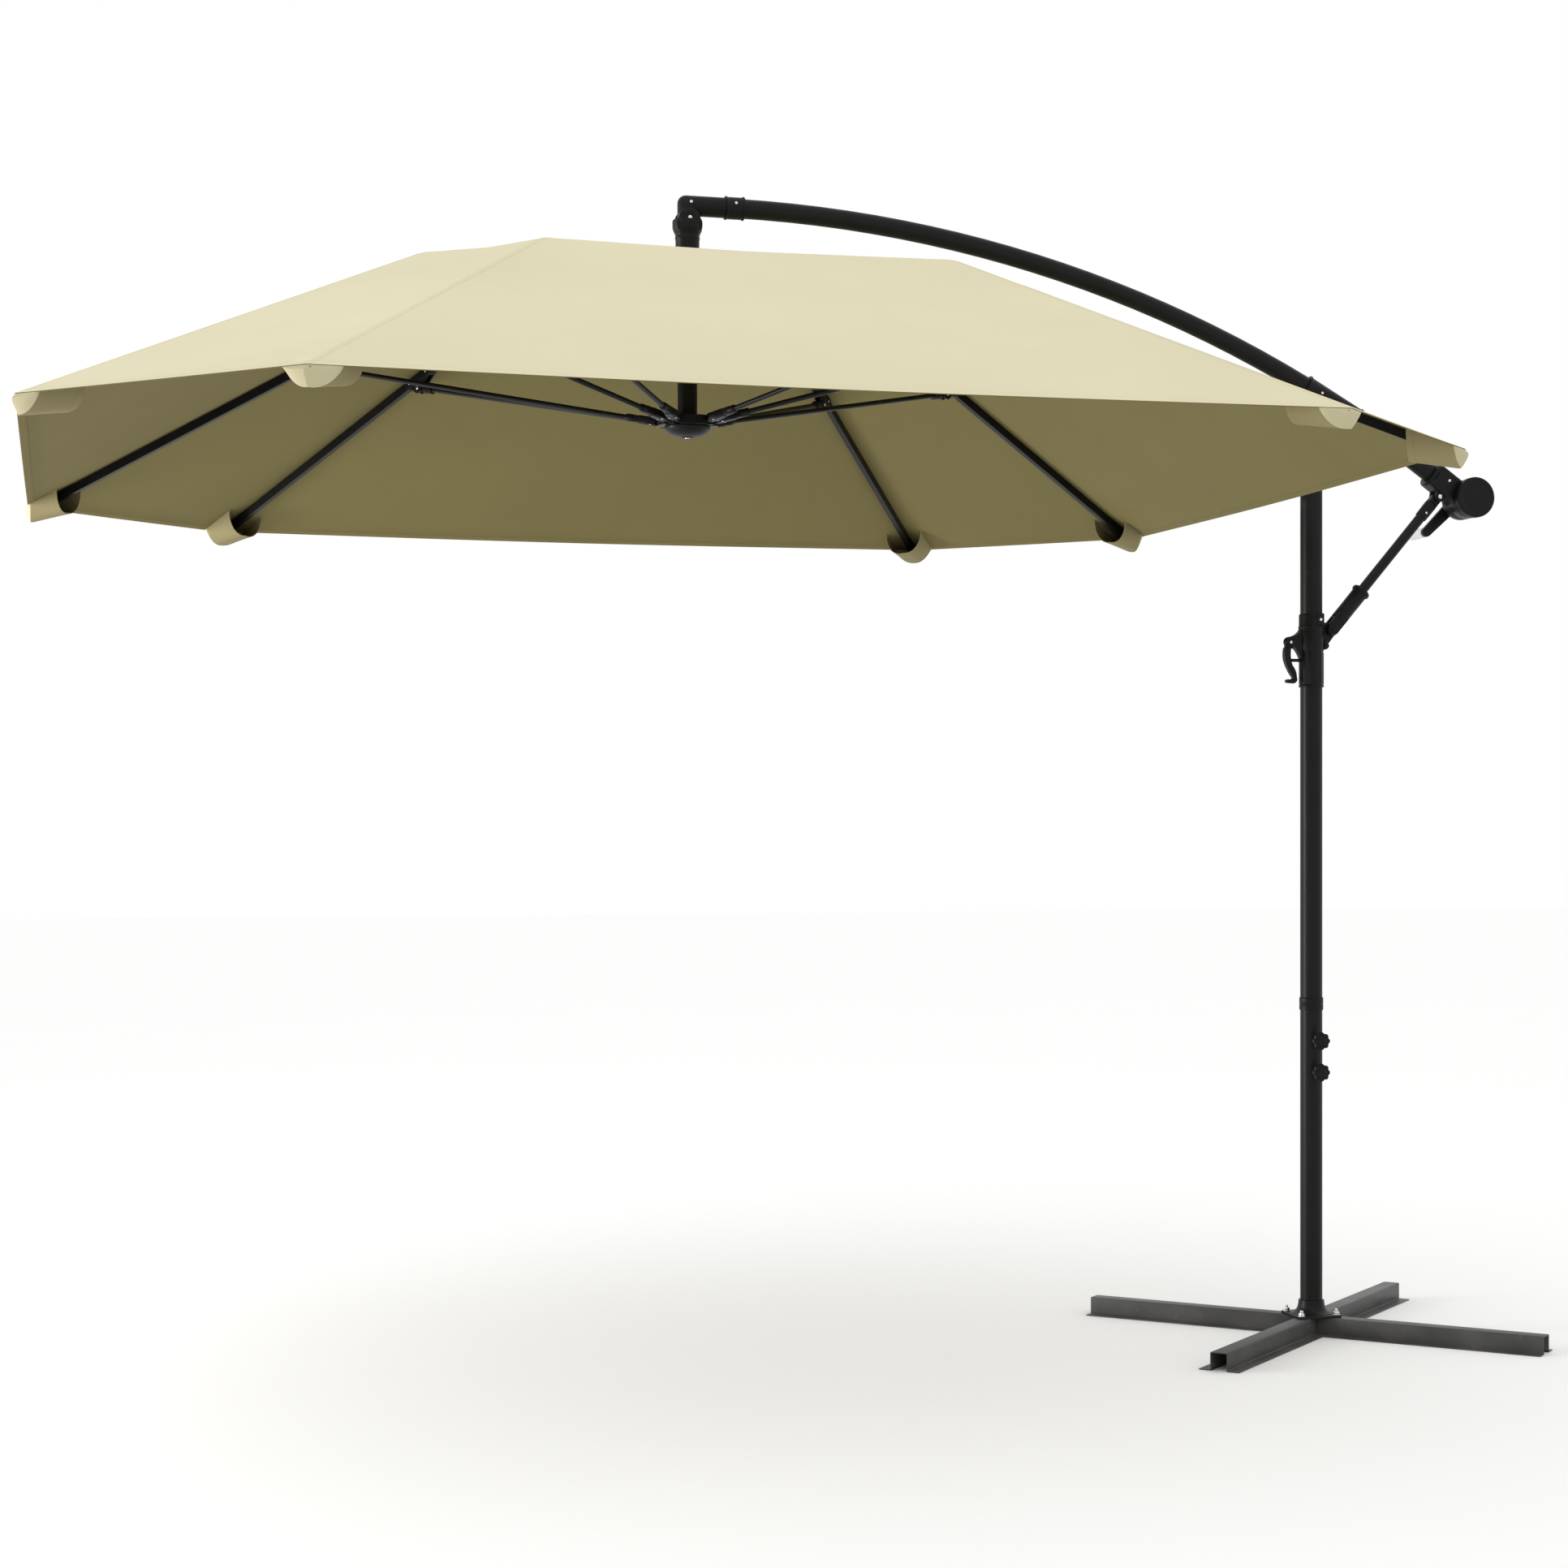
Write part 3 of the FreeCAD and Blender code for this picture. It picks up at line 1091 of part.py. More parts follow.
rib_shape = rib_solids()
runner_strut_shape = strut_solids()
narrow = size("pair_angle") / 2
wide = 45 - narrow
for number, heading in enumerate(RIB_HEADINGS, start=1):
    spoke(f"rib_{number}", rib_shape, heading)
    spoke(f"runner_strut_{number}", runner_strut_shape, heading)
    first_of_pair = number % 2 == 1
    before, after = (wide, narrow) if first_of_pair else (narrow, wide)
    spoke(f"canopy_panel_{number}", [panel_solid(before, after)], heading)


# ---------------------------------------------------------------- checks and files

document.recompute()
for item in document.Objects:
    if "Invalid" in item.State or "Error" in item.State:
        raise RuntimeError(f"{item.Name} is {item.State}")
for item in nodes:
    if item.Shape.isNull() or not item.Shape.isValid() or not item.Shape.Solids:
        raise RuntimeError(f"{item.Label} has no valid solid")
print(len(nodes), "sub-parts,", sum(len(item.Shape.Solids) for item in nodes), "solids")
os.makedirs("parts", exist_ok=True)
for item in nodes:
    item.Shape.exportStep(f"parts/{item.Label}.step")
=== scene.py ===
"""Cantilever parasol: fabric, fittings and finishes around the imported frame."""

import json
import math

import bpy
from mathutils import Matrix, Quaternion, Vector


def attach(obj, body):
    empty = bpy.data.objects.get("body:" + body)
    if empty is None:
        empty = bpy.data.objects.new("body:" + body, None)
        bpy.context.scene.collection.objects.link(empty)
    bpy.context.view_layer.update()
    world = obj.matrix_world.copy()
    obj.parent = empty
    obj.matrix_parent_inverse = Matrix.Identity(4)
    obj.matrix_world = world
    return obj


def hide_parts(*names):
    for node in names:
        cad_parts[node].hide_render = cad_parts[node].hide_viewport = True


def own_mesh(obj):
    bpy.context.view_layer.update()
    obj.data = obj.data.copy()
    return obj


bl_info = {
    "name": "Cantilever parasol",
    "version": (1, 0, 0),
    "blender": (4, 5, 0),
    "location": "View3D > Sidebar > Parasol",
    "description": "Builds the canopy, the moulded fittings and the finishes of a cantilever parasol",
    "category": "Object",
}

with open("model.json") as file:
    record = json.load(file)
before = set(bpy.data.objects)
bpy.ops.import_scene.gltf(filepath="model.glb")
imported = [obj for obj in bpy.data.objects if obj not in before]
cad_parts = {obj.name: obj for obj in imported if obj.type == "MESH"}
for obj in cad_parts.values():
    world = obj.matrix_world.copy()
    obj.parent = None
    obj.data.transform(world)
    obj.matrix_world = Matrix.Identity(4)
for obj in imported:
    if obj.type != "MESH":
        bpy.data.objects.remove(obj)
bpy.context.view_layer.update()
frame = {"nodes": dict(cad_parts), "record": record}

# Places and outlines are in millimetres, and MM turns them into metres. POINT is the radius that closes a
# turned piece at its axis.
MM = 0.001
POINT = 0.01
DOUBLES = 0.00004
X_AXIS = Vector((1, 0, 0))
Y_AXIS = Vector((0, 1, 0))
Z_AXIS = Vector((0, 0, 1))

CANOPY_X = -1386
CROWN_PIVOT_Z = 2235
RUNNER_PIVOT_Z = 1930
HUB_PIVOT_RADIUS = 50
STRUT_PIVOT = Vector((834, 0, 2082.5))
BOOM_PIVOT = Vector((0, 0, 1985))
BOOM_BEND = Vector((-1290, 0, -376))
BOOM_BEND_RADIUS = 2750
BOOM_TOP_Z = BOOM_BEND.z + BOOM_BEND_RADIUS
STRUT_FOOT = Vector((45, 0, 1531))
STRUT_HEAD = Vector((300, 0, 1828))
LEVER_PIVOT = Vector((-51, 0, 1502))
WINCH_CENTRE = Vector((374, 0, 1826))
ELBOW_RADIUS = 20.8
ELBOW_BEND = 23
NARROW_GAP = 11.25
WIDE_GAP = 33.75
HEADINGS = [quarter + 45 + side * NARROW_GAP for quarter in (0, 90, 180, 270) for side in (-1, 1)]
KNUCKLE_Z = 2345

# How far the cloth takes to turn over a rib's bend, in metres, and how much further it takes between ribs.
TIGHT_BEND = 0.02
SLACK_BEND = 0.07

finishes = {}


# ---------------------------------------------------------------- sizes and colours


class ParasolCanopySizes(bpy.types.PropertyGroup):
    """Measures and colours of the fabric."""

    outside: bpy.props.FloatVectorProperty(
        name="Outside", description="Colour of the fabric's upper face", subtype="COLOR",
        default=(0.715, 0.665, 0.455), min=0, max=1)
    # Underside colour: painted shade, a darker copy of the outside cloth standing in for the shade under the
    # canopy, not a coating.
    shaded_underside: bpy.props.FloatVectorProperty(
        name="Underside", description="Colour of the fabric's coated lower face", subtype="COLOR",
        default=(0.172, 0.146, 0.060), min=0, max=1)
    # Pocket end colour: painted shade, the outside cloth darkened to about 70% for the less lit upright ends
    # of the pockets.
    shaded_pocket_end: bpy.props.FloatVectorProperty(
        name="Pocket end", description="Colour of the tip pockets' outer end", subtype="COLOR",
        default=(0.50, 0.455, 0.29), min=0, max=1)
    # Pocket side colour: painted shade, a darker copy of the outside cloth for the shaded sides of the pocket
    # troughs.
    shaded_pocket_side: bpy.props.FloatVectorProperty(
        name="Pocket side", description="Colour of the tip pockets' sides", subtype="COLOR",
        default=(0.245, 0.210, 0.108), min=0, max=1)
    inner_radius: bpy.props.FloatProperty(
        name="Inner radius", description="Where the fabric ends under the crown's cap",
        unit="LENGTH", default=0.042)
    bend_radius: bpy.props.FloatProperty(
        name="Bend radius", description="Where the ribs bend down", unit="LENGTH", default=0.700)
    tip_radius: bpy.props.FloatProperty(
        name="Tip radius", description="Where the fabric's corners are", unit="LENGTH", default=1.573)
    inner_height: bpy.props.FloatProperty(
        name="Inner height", description="Height of the fabric at the crown",
        unit="LENGTH", default=2.2494)
    bend_height: bpy.props.FloatProperty(
        name="Bend height", description="Height of the fabric at the ribs' bend",
        unit="LENGTH", default=2.1745)
    tip_height: bpy.props.FloatProperty(
        name="Tip height", description="Height of the fabric at the tips", unit="LENGTH", default=1.811)
    thickness: bpy.props.FloatProperty(
        name="Thickness", description="Thickness where the cloth is folded over",
        unit="LENGTH", default=0.0016)
    sag: bpy.props.FloatProperty(
        name="Sag", description="How far the hem hangs in the middle of a wide side",
        unit="LENGTH", default=0.005)
    hem: bpy.props.FloatProperty(
        name="Hem", description="Width of the folded hem", unit="LENGTH", default=0.018)
    seam: bpy.props.FloatProperty(
        name="Seam", description="Half width of the folded seam over a rib",
        unit="LENGTH", default=0.0065)
    pocket_half_width: bpy.props.FloatProperty(
        name="Pocket half width", description="Half the width of a tip pocket",
        unit="LENGTH", default=0.046)
    pocket_length: bpy.props.FloatProperty(
        name="Pocket length", description="How far a tip pocket reaches along its rib",
        unit="LENGTH", default=0.105)
    pocket_drop: bpy.props.FloatProperty(
        name="Pocket drop", description="How far a tip pocket hangs under the corner",
        unit="LENGTH", default=0.034)
    pocket_rise: bpy.props.FloatProperty(
        name="Pocket rise", description="How much higher a pocket's open end hangs",
        unit="LENGTH", default=0.018)


class ParasolFrameSizes(bpy.types.PropertyGroup):
    """Colours of the frame and how round its edges are."""

    paint: bpy.props.FloatVectorProperty(
        name="Paint", description="Colour of the powder coat", subtype="COLOR",
        default=(0.005, 0.005, 0.005), min=0, max=1)
    # Base paint: painted light, a lighter copy of the frame's black powder coat standing in for the light
    # falling on the base arms.
    lit_base_paint: bpy.props.FloatVectorProperty(
        name="Base paint", description="Colour of the base's powder coat", subtype="COLOR",
        default=(0.055, 0.055, 0.055), min=0, max=1)
    plastic: bpy.props.FloatVectorProperty(
        name="Plastic", description="Colour of the moulded fittings", subtype="COLOR",
        default=(0.004, 0.004, 0.004), min=0, max=1)
    steel: bpy.props.FloatVectorProperty(
        name="Steel", description="Colour of the plated fasteners", subtype="COLOR",
        default=(0.72, 0.72, 0.74), min=0, max=1)
    grip: bpy.props.FloatVectorProperty(
        name="Grip", description="Colour of the crank's grip", subtype="COLOR",
        default=(0.60, 0.60, 0.61), min=0, max=1)
    cord: bpy.props.FloatVectorProperty(
        name="Cord", description="Colour of the lift cord", subtype="COLOR",
        default=(0.03, 0.03, 0.03), min=0, max=1)
    edge: bpy.props.FloatProperty(
        name="Edge", description="Rounding of moulded edges", unit="LENGTH", default=0.0009)


class ParasolStageSizes(bpy.types.PropertyGroup):
    """Floor, light and camera."""

    floor: bpy.props.FloatVectorProperty(
        name="Floor", description="Colour of the floor and backdrop", subtype="COLOR",
        default=(0.985, 0.985, 0.98), min=0, max=1)
    sky: bpy.props.FloatProperty(
        name="Sky", description="Strength of the soft light from all sides", default=1.0)
    key: bpy.props.FloatProperty(
        name="Key", description="Power of the large lamp overhead", subtype="POWER", default=30)
    side: bpy.props.FloatProperty(
        name="Side", description="Power of the tall strip lamp on the left",
        subtype="POWER", default=190)
    lens: bpy.props.FloatProperty(
        name="Lens", description="Focal length of the camera in millimetres", default=66.54)


# ---------------------------------------------------------------- finishes


class Value:
    """A node's output that takes part in Python expressions; each operator adds a Math node."""

    def __init__(self, finish, socket):
        self.finish = finish
        self.socket = socket

    def maths(self, operation, first, second=0.0):
        return self.finish.node("ShaderNodeMath", {"operation": operation}, {0: first, 1: second})

    def __add__(self, other):
        return self.maths("ADD", self, other)

    def __sub__(self, other):
        return self.maths("SUBTRACT", self, other)

    def __rsub__(self, other):
        return self.maths("SUBTRACT", other, self)

    def __mul__(self, other):
        return self.maths("MULTIPLY", self, other)

    def __truediv__(self, other):
        return self.maths("DIVIDE", self, other)

    def __gt__(self, other):
        return self.maths("GREATER_THAN", self, other)

    def __lt__(self, other):
        return self.maths("LESS_THAN", self, other)

    def __abs__(self):
        return self.maths("ABSOLUTE", self)

    __radd__ = __add__

    def wave(self):
        return self.maths("SINE", self)

    def share(self):
        """What is left after the whole number."""
        return self.maths("FRACT", self)

    def larger(self, other):
        return self.maths("MAXIMUM", self, other)

    def within(self, low, high):
        """0 at low, 1 at high, and kept between them."""
        ends = {"From Min": low, "From Max": high, "Value": self}
        return self.finish.node("ShaderNodeMapRange", {"clamp": True}, ends)


class Finish:
    """A material in the making: its shader and the one way to add nodes to it."""

    def __init__(self, name, constants):
        self.material = bpy.data.materials.new(name)
        self.material.use_nodes = True
        self.tree = self.material.node_tree
        self.shader = self.tree.nodes["Principled BSDF"]
        for socket, value in constants.items():
            self.shader.inputs[socket].default_value = value

    def node(self, kind, settings, values, output=0):
        made = self.tree.nodes.new(kind)
        for setting, value in settings.items():
            setattr(made, setting, value)
        for key, value in values.items():
            self.feed(made.inputs[key], value)
        return Value(self, made.outputs[output])

    def feed(self, socket, value):
        if isinstance(value, Value):
            self.tree.links.new(value.socket, socket)
        else:
            socket.default_value = value

    def place(self):
        return self.node("ShaderNodeTexCoord", {}, {}, "Object")

    def noise(self, scale, detail=3.0):
        values = {"Vector": self.place(), "Scale": scale, "Detail": detail}
        return self.node("ShaderNodeTexNoise", {}, values, "Fac")

    def apart(self, vector):
        """The three numbers of a vector."""
        return [self.node("ShaderNodeSeparateXYZ", {}, {0: vector}, axis) for axis in "XYZ"]

    def mix(self, factor, first, second):
        """A colour between two others, each an output or three numbers."""
        colours = [colour if isinstance(colour, Value) else (*colour, 1) for colour in (first, second)]
        return self.node("ShaderNodeMix", {"data_type": "RGBA"}, {0: factor, 6: colours[0], 7: colours[1]}, 2)

    def bump(self, height, distance):
        values = {"Height": height, "Distance": distance}
        self.paint("Normal", self.node("ShaderNodeBump", {}, values))

    def paint(self, socket, value):
        self.feed(self.shader.inputs[socket], value)


def scaled(colour, share):
    return tuple(min(1, channel * share) for channel in colour)


def powder_coat(name, colour):
    """Satin paint with a fine orange peel, rubbed spots and a little dust near the ground."""
    finish = Finish(name, {"Specular IOR Level": 0.16})
    clouds = finish.noise(9.0)
    peel = finish.noise(650.0, 2.0)
    rubbed = finish.noise(38.0, 6.0).within(0.62, 0.74)
    height = finish.apart(finish.place())[2]
    dust = (1 - height.within(0.0, 0.07)) * clouds.within(0.35, 0.75)
    painted = finish.mix(clouds.within(0.3, 0.7), scaled(colour, 0.85), scaled(colour, 1.25))
    worn = finish.mix(rubbed * 0.35, painted, scaled(colour, 2.6))
    dust_colour = (0.16, 0.15, 0.135)
    finish.paint("Base Color", finish.mix(dust * 0.30, worn, dust_colour))
    finish.paint("Roughness", 0.34 + clouds * 0.10 + rubbed * 0.08 + dust * 0.2)
    finish.bump(peel, 0.00006)
    return finish.material


def moulded_plastic(name, colour, gloss):
    """Moulded plastic with a fine grain and soft changes of gloss."""
    finish = Finish(name, {"Specular IOR Level": 0.16})
    clouds = finish.noise(26.0)
    grain = finish.noise(1500.0, 2.0)
    scuffs = finish.noise(90.0, 8.0).within(0.64, 0.78)
    moulded = finish.mix(clouds.within(0.3, 0.7), scaled(colour, 0.9), scaled(colour, 1.2))
    finish.paint("Base Color", finish.mix(scuffs * 0.25, moulded, scaled(colour, 1.9)))
    finish.paint("Roughness", gloss + clouds * 0.12 + scuffs * 0.1)
    finish.bump(grain, 0.00004)
    return finish.material


def plated_steel(colour):
    finish = Finish("plated_steel", {"Metallic": 1.0})
    clouds = finish.noise(160.0, 5.0)
    finish.paint("Base Color", finish.mix(clouds.within(0.35, 0.7), scaled(colour, 0.86), colour))
    finish.paint("Roughness", 0.16 + clouds * 0.16)
    finish.bump(finish.noise(900.0, 2.0), 0.00002)
    return finish.material


def braided_cord(colour):
    finish = Finish("braided_cord", {"Sheen Weight": 0.3})
    x, y, z = finish.apart(finish.place())
    left = abs(((x + y + z) * 1400).wave())
    right = abs(((x + y - z) * 1400).wave())
    braid = left.larger(right)
    finish.paint("Base Color", finish.mix(braid, scaled(colour, 0.5), scaled(colour, 1.6)))
    finish.paint("Roughness", 0.62 + braid * 0.2)
    finish.bump(braid, 0.0003)
    return finish.material


def woven_cloth(name, colour, sizes, sheen):
    """Plain weave whose threads run with the hem, with stitches along the seam and the hem."""
    constants = {"Sheen Weight": sheen, "Sheen Roughness": 0.5, "IOR": 1.4, "Specular IOR Level": 0.08}
    finish = Finish(name, constants)
    edge = finish.node("ShaderNodeUVMap", {"uv_map": "edge"}, {})
    inward, along, _ = finish.apart(edge)
    pitch = 0.0011
    warp = abs((inward * (math.pi / pitch)).wave())
    weft = abs((along * (math.pi / pitch)).wave())
    over = (((inward * (0.5 / pitch)).share() > 0.5) + ((along * (0.5 / pitch)).share() > 0.5)) * 0.5
    single = abs(over - 0.5) < 0.25
    weave = single * warp + (1 - single) * weft
    seam = finish.node("ShaderNodeUVMap", {"uv_map": "seam"}, {})
    across, down, _ = finish.apart(seam)
    stitch_length, stitched_share, half_thread = 0.0036, 0.68, 0.0005
    seam_row = abs(abs(across) - (sizes.seam - 0.0018)) < half_thread
    seam_stitch = seam_row * ((down / stitch_length).share() < stitched_share)
    hem_row = abs(inward - (sizes.hem - 0.002)) < half_thread
    hem_stitch = hem_row * ((along / stitch_length).share() < stitched_share)
    stitches = seam_stitch.larger(hem_stitch)
    clouds = finish.noise(2.6, 4.0)
    slubs = finish.noise(240.0, 3.0)
    cloth = finish.mix(clouds.within(0.3, 0.7), scaled(colour, 0.965), scaled(colour, 1.03))
    threads = finish.mix(weave * 0.22 + slubs * 0.10, cloth, scaled(colour, 0.84))
    finish.paint("Base Color", finish.mix(stitches * 0.75, threads, scaled(colour, 0.66)))
    finish.paint("Roughness", 0.72 + slubs * 0.12)
    finish.bump(weave * 0.6 + slubs * 0.3 + stitches * 2.5, 0.0001)
    return finish.material


# ---------------------------------------------------------------- workshop


def clear_selection():
    if bpy.context.mode != "OBJECT":
        bpy.ops.object.mode_set(mode="OBJECT")
    bpy.ops.object.select_all(action="DESELECT")


def take(piece):
    """Makes a piece the only one selected."""
    clear_selection()
    piece.select_set(True)
    bpy.context.view_layer.objects.active = piece
    return piece


def closed_up():
    """In edit mode: joins doubles, closes holes and turns the faces outwards."""
    bpy.ops.mesh.select_all(action="SELECT")
    bpy.ops.mesh.remove_doubles(threshold=DOUBLES)
    bpy.ops.mesh.fill_holes(sides=0)
    bpy.ops.mesh.normals_make_consistent(inside=False)
    bpy.ops.object.mode_set(mode="OBJECT")


def settled(piece, name, base=(0, 0, 0), axis=Z_AXIS):
    """Puts a piece's own Z along axis, its origin on base in millimetres, and applies that."""
    take(piece)
    piece.name = name
    piece.data.name = name
    piece.rotation_mode = "QUATERNION"
    piece.rotation_quaternion = Z_AXIS.rotation_difference(Vector(axis))
    piece.location = Vector(base) * MM
    bpy.ops.object.transform_apply(location=True, rotation=True, scale=True)
    return piece


def turned(name, profile, base=(0, 0, 0), axis=Z_AXIS, segments=40):
    """A ring drawn out and widened along a profile of (radius, height) pairs in millimetres."""
    clear_selection()
    radius, height = profile[0]
    bpy.ops.mesh.primitive_circle_add(
        vertices=segments, radius=max(radius, POINT) * MM, location=(0, 0, 0), enter_editmode=True)
    bpy.ops.transform.translate(value=(0, 0, height * MM))
    for next_radius, next_height in profile[1:]:
        bpy.ops.mesh.extrude_region_move(
            TRANSFORM_OT_translate={"value": (0, 0, (next_height - height) * MM)})
        share = max(next_radius, POINT) / max(radius, POINT)
        bpy.ops.transform.resize(value=(share, share, 1), center_override=(0, 0, next_height * MM))
        radius, height = next_radius, next_height
    closed_up()
    return settled(bpy.context.active_object, name, base, axis)


def arc(centre, radius, start, end, steps=8):
    """Points of an arc between two angles in degrees."""
    points = []
    for step in range(steps + 1):
        angle = math.radians(start + (end - start) * step / steps)
        points.append((centre[0] + radius * math.cos(angle), centre[1] + radius * math.sin(angle)))
    return points


def bow(start, through, end, steps=6):
    """Points after start of the arc through a second point to a third."""
    a, b, c = (Vector(point) for point in (start, through, end))
    turn = 2 * ((b - a).x * (c - a).y - (b - a).y * (c - a).x)
    if abs(turn) < 1e-6:
        return [through, end]
    ab, ac = (b - a).length_squared, (c - a).length_squared
    centre = a + Vector(((c - a).y * ab - (b - a).y * ac, (b - a).x * ac - (c - a).x * ab)) / turn
    first = math.degrees(math.atan2(*(a - centre).yx))
    sweep = math.degrees(math.atan2(*(c - centre).yx)) - first
    sweep = sweep % 360 if turn > 0 else -((-sweep) % 360)
    return arc(centre, (a - centre).length, first, first + sweep, steps)[1:]


def drawn(start, *steps):
    """A closed outline: a step is a corner, or a pair of points for an arc through one to the other."""
    points = [start]
    for step in steps:
        if isinstance(step[0], tuple):
            points += bow(points[-1], step[0], step[1])
        else:
            points.append(step)
    if (Vector(points[-1]) - Vector(points[0])).length < 1e-6:
        points.pop()
    return points


def rounded(corners, radius, steps=4):
    """A closed outline with each corner rounded, by one radius or one for each corner."""
    points = []
    count = len(corners)
    for index, corner in enumerate(corners):
        here = Vector(corner)
        before = Vector(corners[index - 1]) - here
        after = Vector(corners[(index + 1) % count]) - here
        own = radius[index] if isinstance(radius, (list, tuple)) else radius
        half = before.angle(after) / 2
        reach = min(own / math.tan(half), before.length * 0.49, after.length * 0.49)
        start, end = here + before.normalized() * reach, here + after.normalized() * reach
        for step in range(steps + 1):
            share = step / steps
            near, far = start.lerp(here, share), here.lerp(end, share)
            points.append(tuple(near.lerp(far, share)))
    return points


def plate(name, outline, width, base=(0, 0, 0), turn=None):
    """A disc with its rim pulled to an outline in X and Z, drawn out across Y, turned and placed."""
    clear_selection()
    bpy.ops.mesh.primitive_circle_add(vertices=len(outline), radius=MM, fill_type="NGON")
    piece = bpy.context.active_object
    for vertex, (x, z) in zip(piece.data.vertices, outline):
        vertex.co = (x * MM, -width / 2 * MM, z * MM)
    bpy.ops.object.mode_set(mode="EDIT")
    bpy.ops.mesh.select_all(action="SELECT")
    bpy.ops.mesh.extrude_region_move(TRANSFORM_OT_translate={"value": (0, width * MM, 0)})
    closed_up()
    take(piece)
    piece.name = name
    piece.data.name = name
    piece.rotation_mode = "QUATERNION"
    piece.rotation_quaternion = turn or Quaternion()
    piece.location = Vector(base) * MM
    bpy.ops.object.transform_apply(location=True, rotation=True, scale=True)
    return piece


def softened(piece, width, segments=2, angle=32):
    """Rounds the edges sharper than an angle."""
    take(piece)
    bevel = piece.modifiers.new("rounding", "BEVEL")
    bevel.width = width
    bevel.segments = segments
    bevel.limit_method = "ANGLE"
    bevel.angle_limit = math.radians(angle)
    bpy.ops.object.modifier_apply(modifier=bevel.name)
    return piece


def joined(name, pieces):
    take(pieces[0])
    for piece in pieces[1:]:
        piece.select_set(True)
    bpy.ops.object.join()
    pieces[0].name = name
    pieces[0].data.name = name
    return pieces[0]


def moved_copy(piece, name, matrix):
    """A copy with its own mesh, moved by a matrix in metres."""
    twin = piece.copy()
    twin.data = piece.data.copy()
    twin.name = name
    twin.data.name = name
    bpy.context.scene.collection.objects.link(twin)
    twin.data.transform(matrix)
    return twin


def discard(piece):
    bpy.data.objects.remove(piece)


def finished(piece, body, slot, nodes=(), angle=38):
    """Smooths a piece, gives it its finish and its body, and hides the frame's nodes it stands for."""
    take(piece)
    bpy.ops.object.shade_smooth_by_angle(angle=math.radians(angle))
    if not piece.data.materials:
        piece.data.materials.append(finishes[slot])
    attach(piece, body)
    if nodes:
        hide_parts(*nodes)
    return piece


def coloured(piece, slot):
    """Gives a part of a piece its own finish before it is joined."""
    piece.data.materials.clear()
    piece.data.materials.append(finishes[slot])
    return piece


def dome(name, radius, height, base, axis, segments=20, slot="bright_steel"):
    """A low domed rivet head with a small foot."""
    profile = [(radius, -0.6), (radius, height * 0.18)]
    for step in range(1, 6):
        angle = math.pi / 2 * step / 5
        profile.append((radius * math.cos(angle), height * (0.18 + 0.82 * math.sin(angle))))
    return coloured(turned(name, profile, base, axis, segments), slot)


def spoke_frame(heading):
    """From a rib's own frame, where it lies along X, to its heading round the canopy's axis."""
    axis = Matrix.Translation(Vector((CANOPY_X * MM, 0, 0)))
    return axis @ Matrix.Rotation(math.radians(heading), 4, "Z")


def boom_place(x):
    """The point of the boom's middle line at x, in millimetres."""
    return Vector((x, 0, BOOM_BEND.z + math.sqrt(BOOM_BEND_RADIUS ** 2 - (x - BOOM_BEND.x) ** 2)))


def tilt_to(direction):
    """A turn about Y that carries X to a direction in the X-Z plane."""
    return Quaternion(Y_AXIS, -math.atan2(direction[2], direction[0]))


# ---------------------------------------------------------------- canopy


def eased(distance, sizes, softness):
    """Height of the fabric over a rib at a distance from the axis, with the bend rounded."""
    first = (sizes.bend_height - sizes.inner_height) / (sizes.bend_radius - sizes.inner_radius)
    second = (sizes.tip_height - sizes.bend_height) / (sizes.tip_radius - sizes.bend_radius)
    past = distance - sizes.bend_radius
    if past <= -softness:
        return sizes.bend_height + first * past
    if past >= softness:
        return sizes.bend_height + second * past
    turn = (second - first) / (4 * softness) * (past + softness) ** 2
    return sizes.bend_height + first * past + turn


def cloth_point(sizes, gap, across, distance):
    """A point of the fabric in its rib's frame: across is 0 on the rib and 1 in the middle of the gap."""
    half_gap = math.radians(gap)
    seam_angle = math.atan(sizes.seam / distance)
    stations = {"rib": 0.0, "fold": seam_angle * 0.9, "seam": seam_angle}
    if across in stations:
        angle = stations[across]
    else:
        angle = seam_angle + (half_gap - seam_angle) * across
    radius = distance * math.cos(half_gap) / math.cos(half_gap - angle)
    share = angle / half_gap
    hang = sizes.sag * (gap / WIDE_GAP) ** 2 * (distance / sizes.tip_radius) * math.sin(math.pi / 2 * share)
    height = eased(distance, sizes, TIGHT_BEND + SLACK_BEND * share) - hang
    return Vector((radius * math.cos(angle), radius * math.sin(angle), height))


def cloth_stations(sizes):
    """Distances of the rows of the fabric, closer together at the bend and the hem."""
    half_bend, hem_start = 0.12, sizes.tip_radius - sizes.hem
    stretches = [
        (sizes.inner_radius, sizes.bend_radius - half_bend, 14),
        (sizes.bend_radius - half_bend, sizes.bend_radius + half_bend, 12),
        (sizes.bend_radius + half_bend, hem_start - 0.001, 20),
    ]
    rows = [sizes.inner_radius]
    for start, end, steps in stretches:
        rows += [start + (end - start) * step / steps for step in range(1, steps + 1)]
    return rows + [hem_start, sizes.tip_radius - sizes.hem * 0.5, sizes.tip_radius]


def cloth_columns(gap):
    steps = 16 if gap == WIDE_GAP else 6
    return ["fold", "seam"] + [step / steps for step in range(1, steps + 1)]


def write_cloth_maps(piece, places):
    """Two maps in metres: across and along the rib, and inwards and along the hem."""
    for name, pair in (("seam", 0), ("edge", 1)):
        layer = piece.data.uv_layers.get(name) or piece.data.uv_layers.new(name=name)
        for loop in piece.data.loops:
            layer.data[loop.index].uv = places[loop.vertex_index][pair]


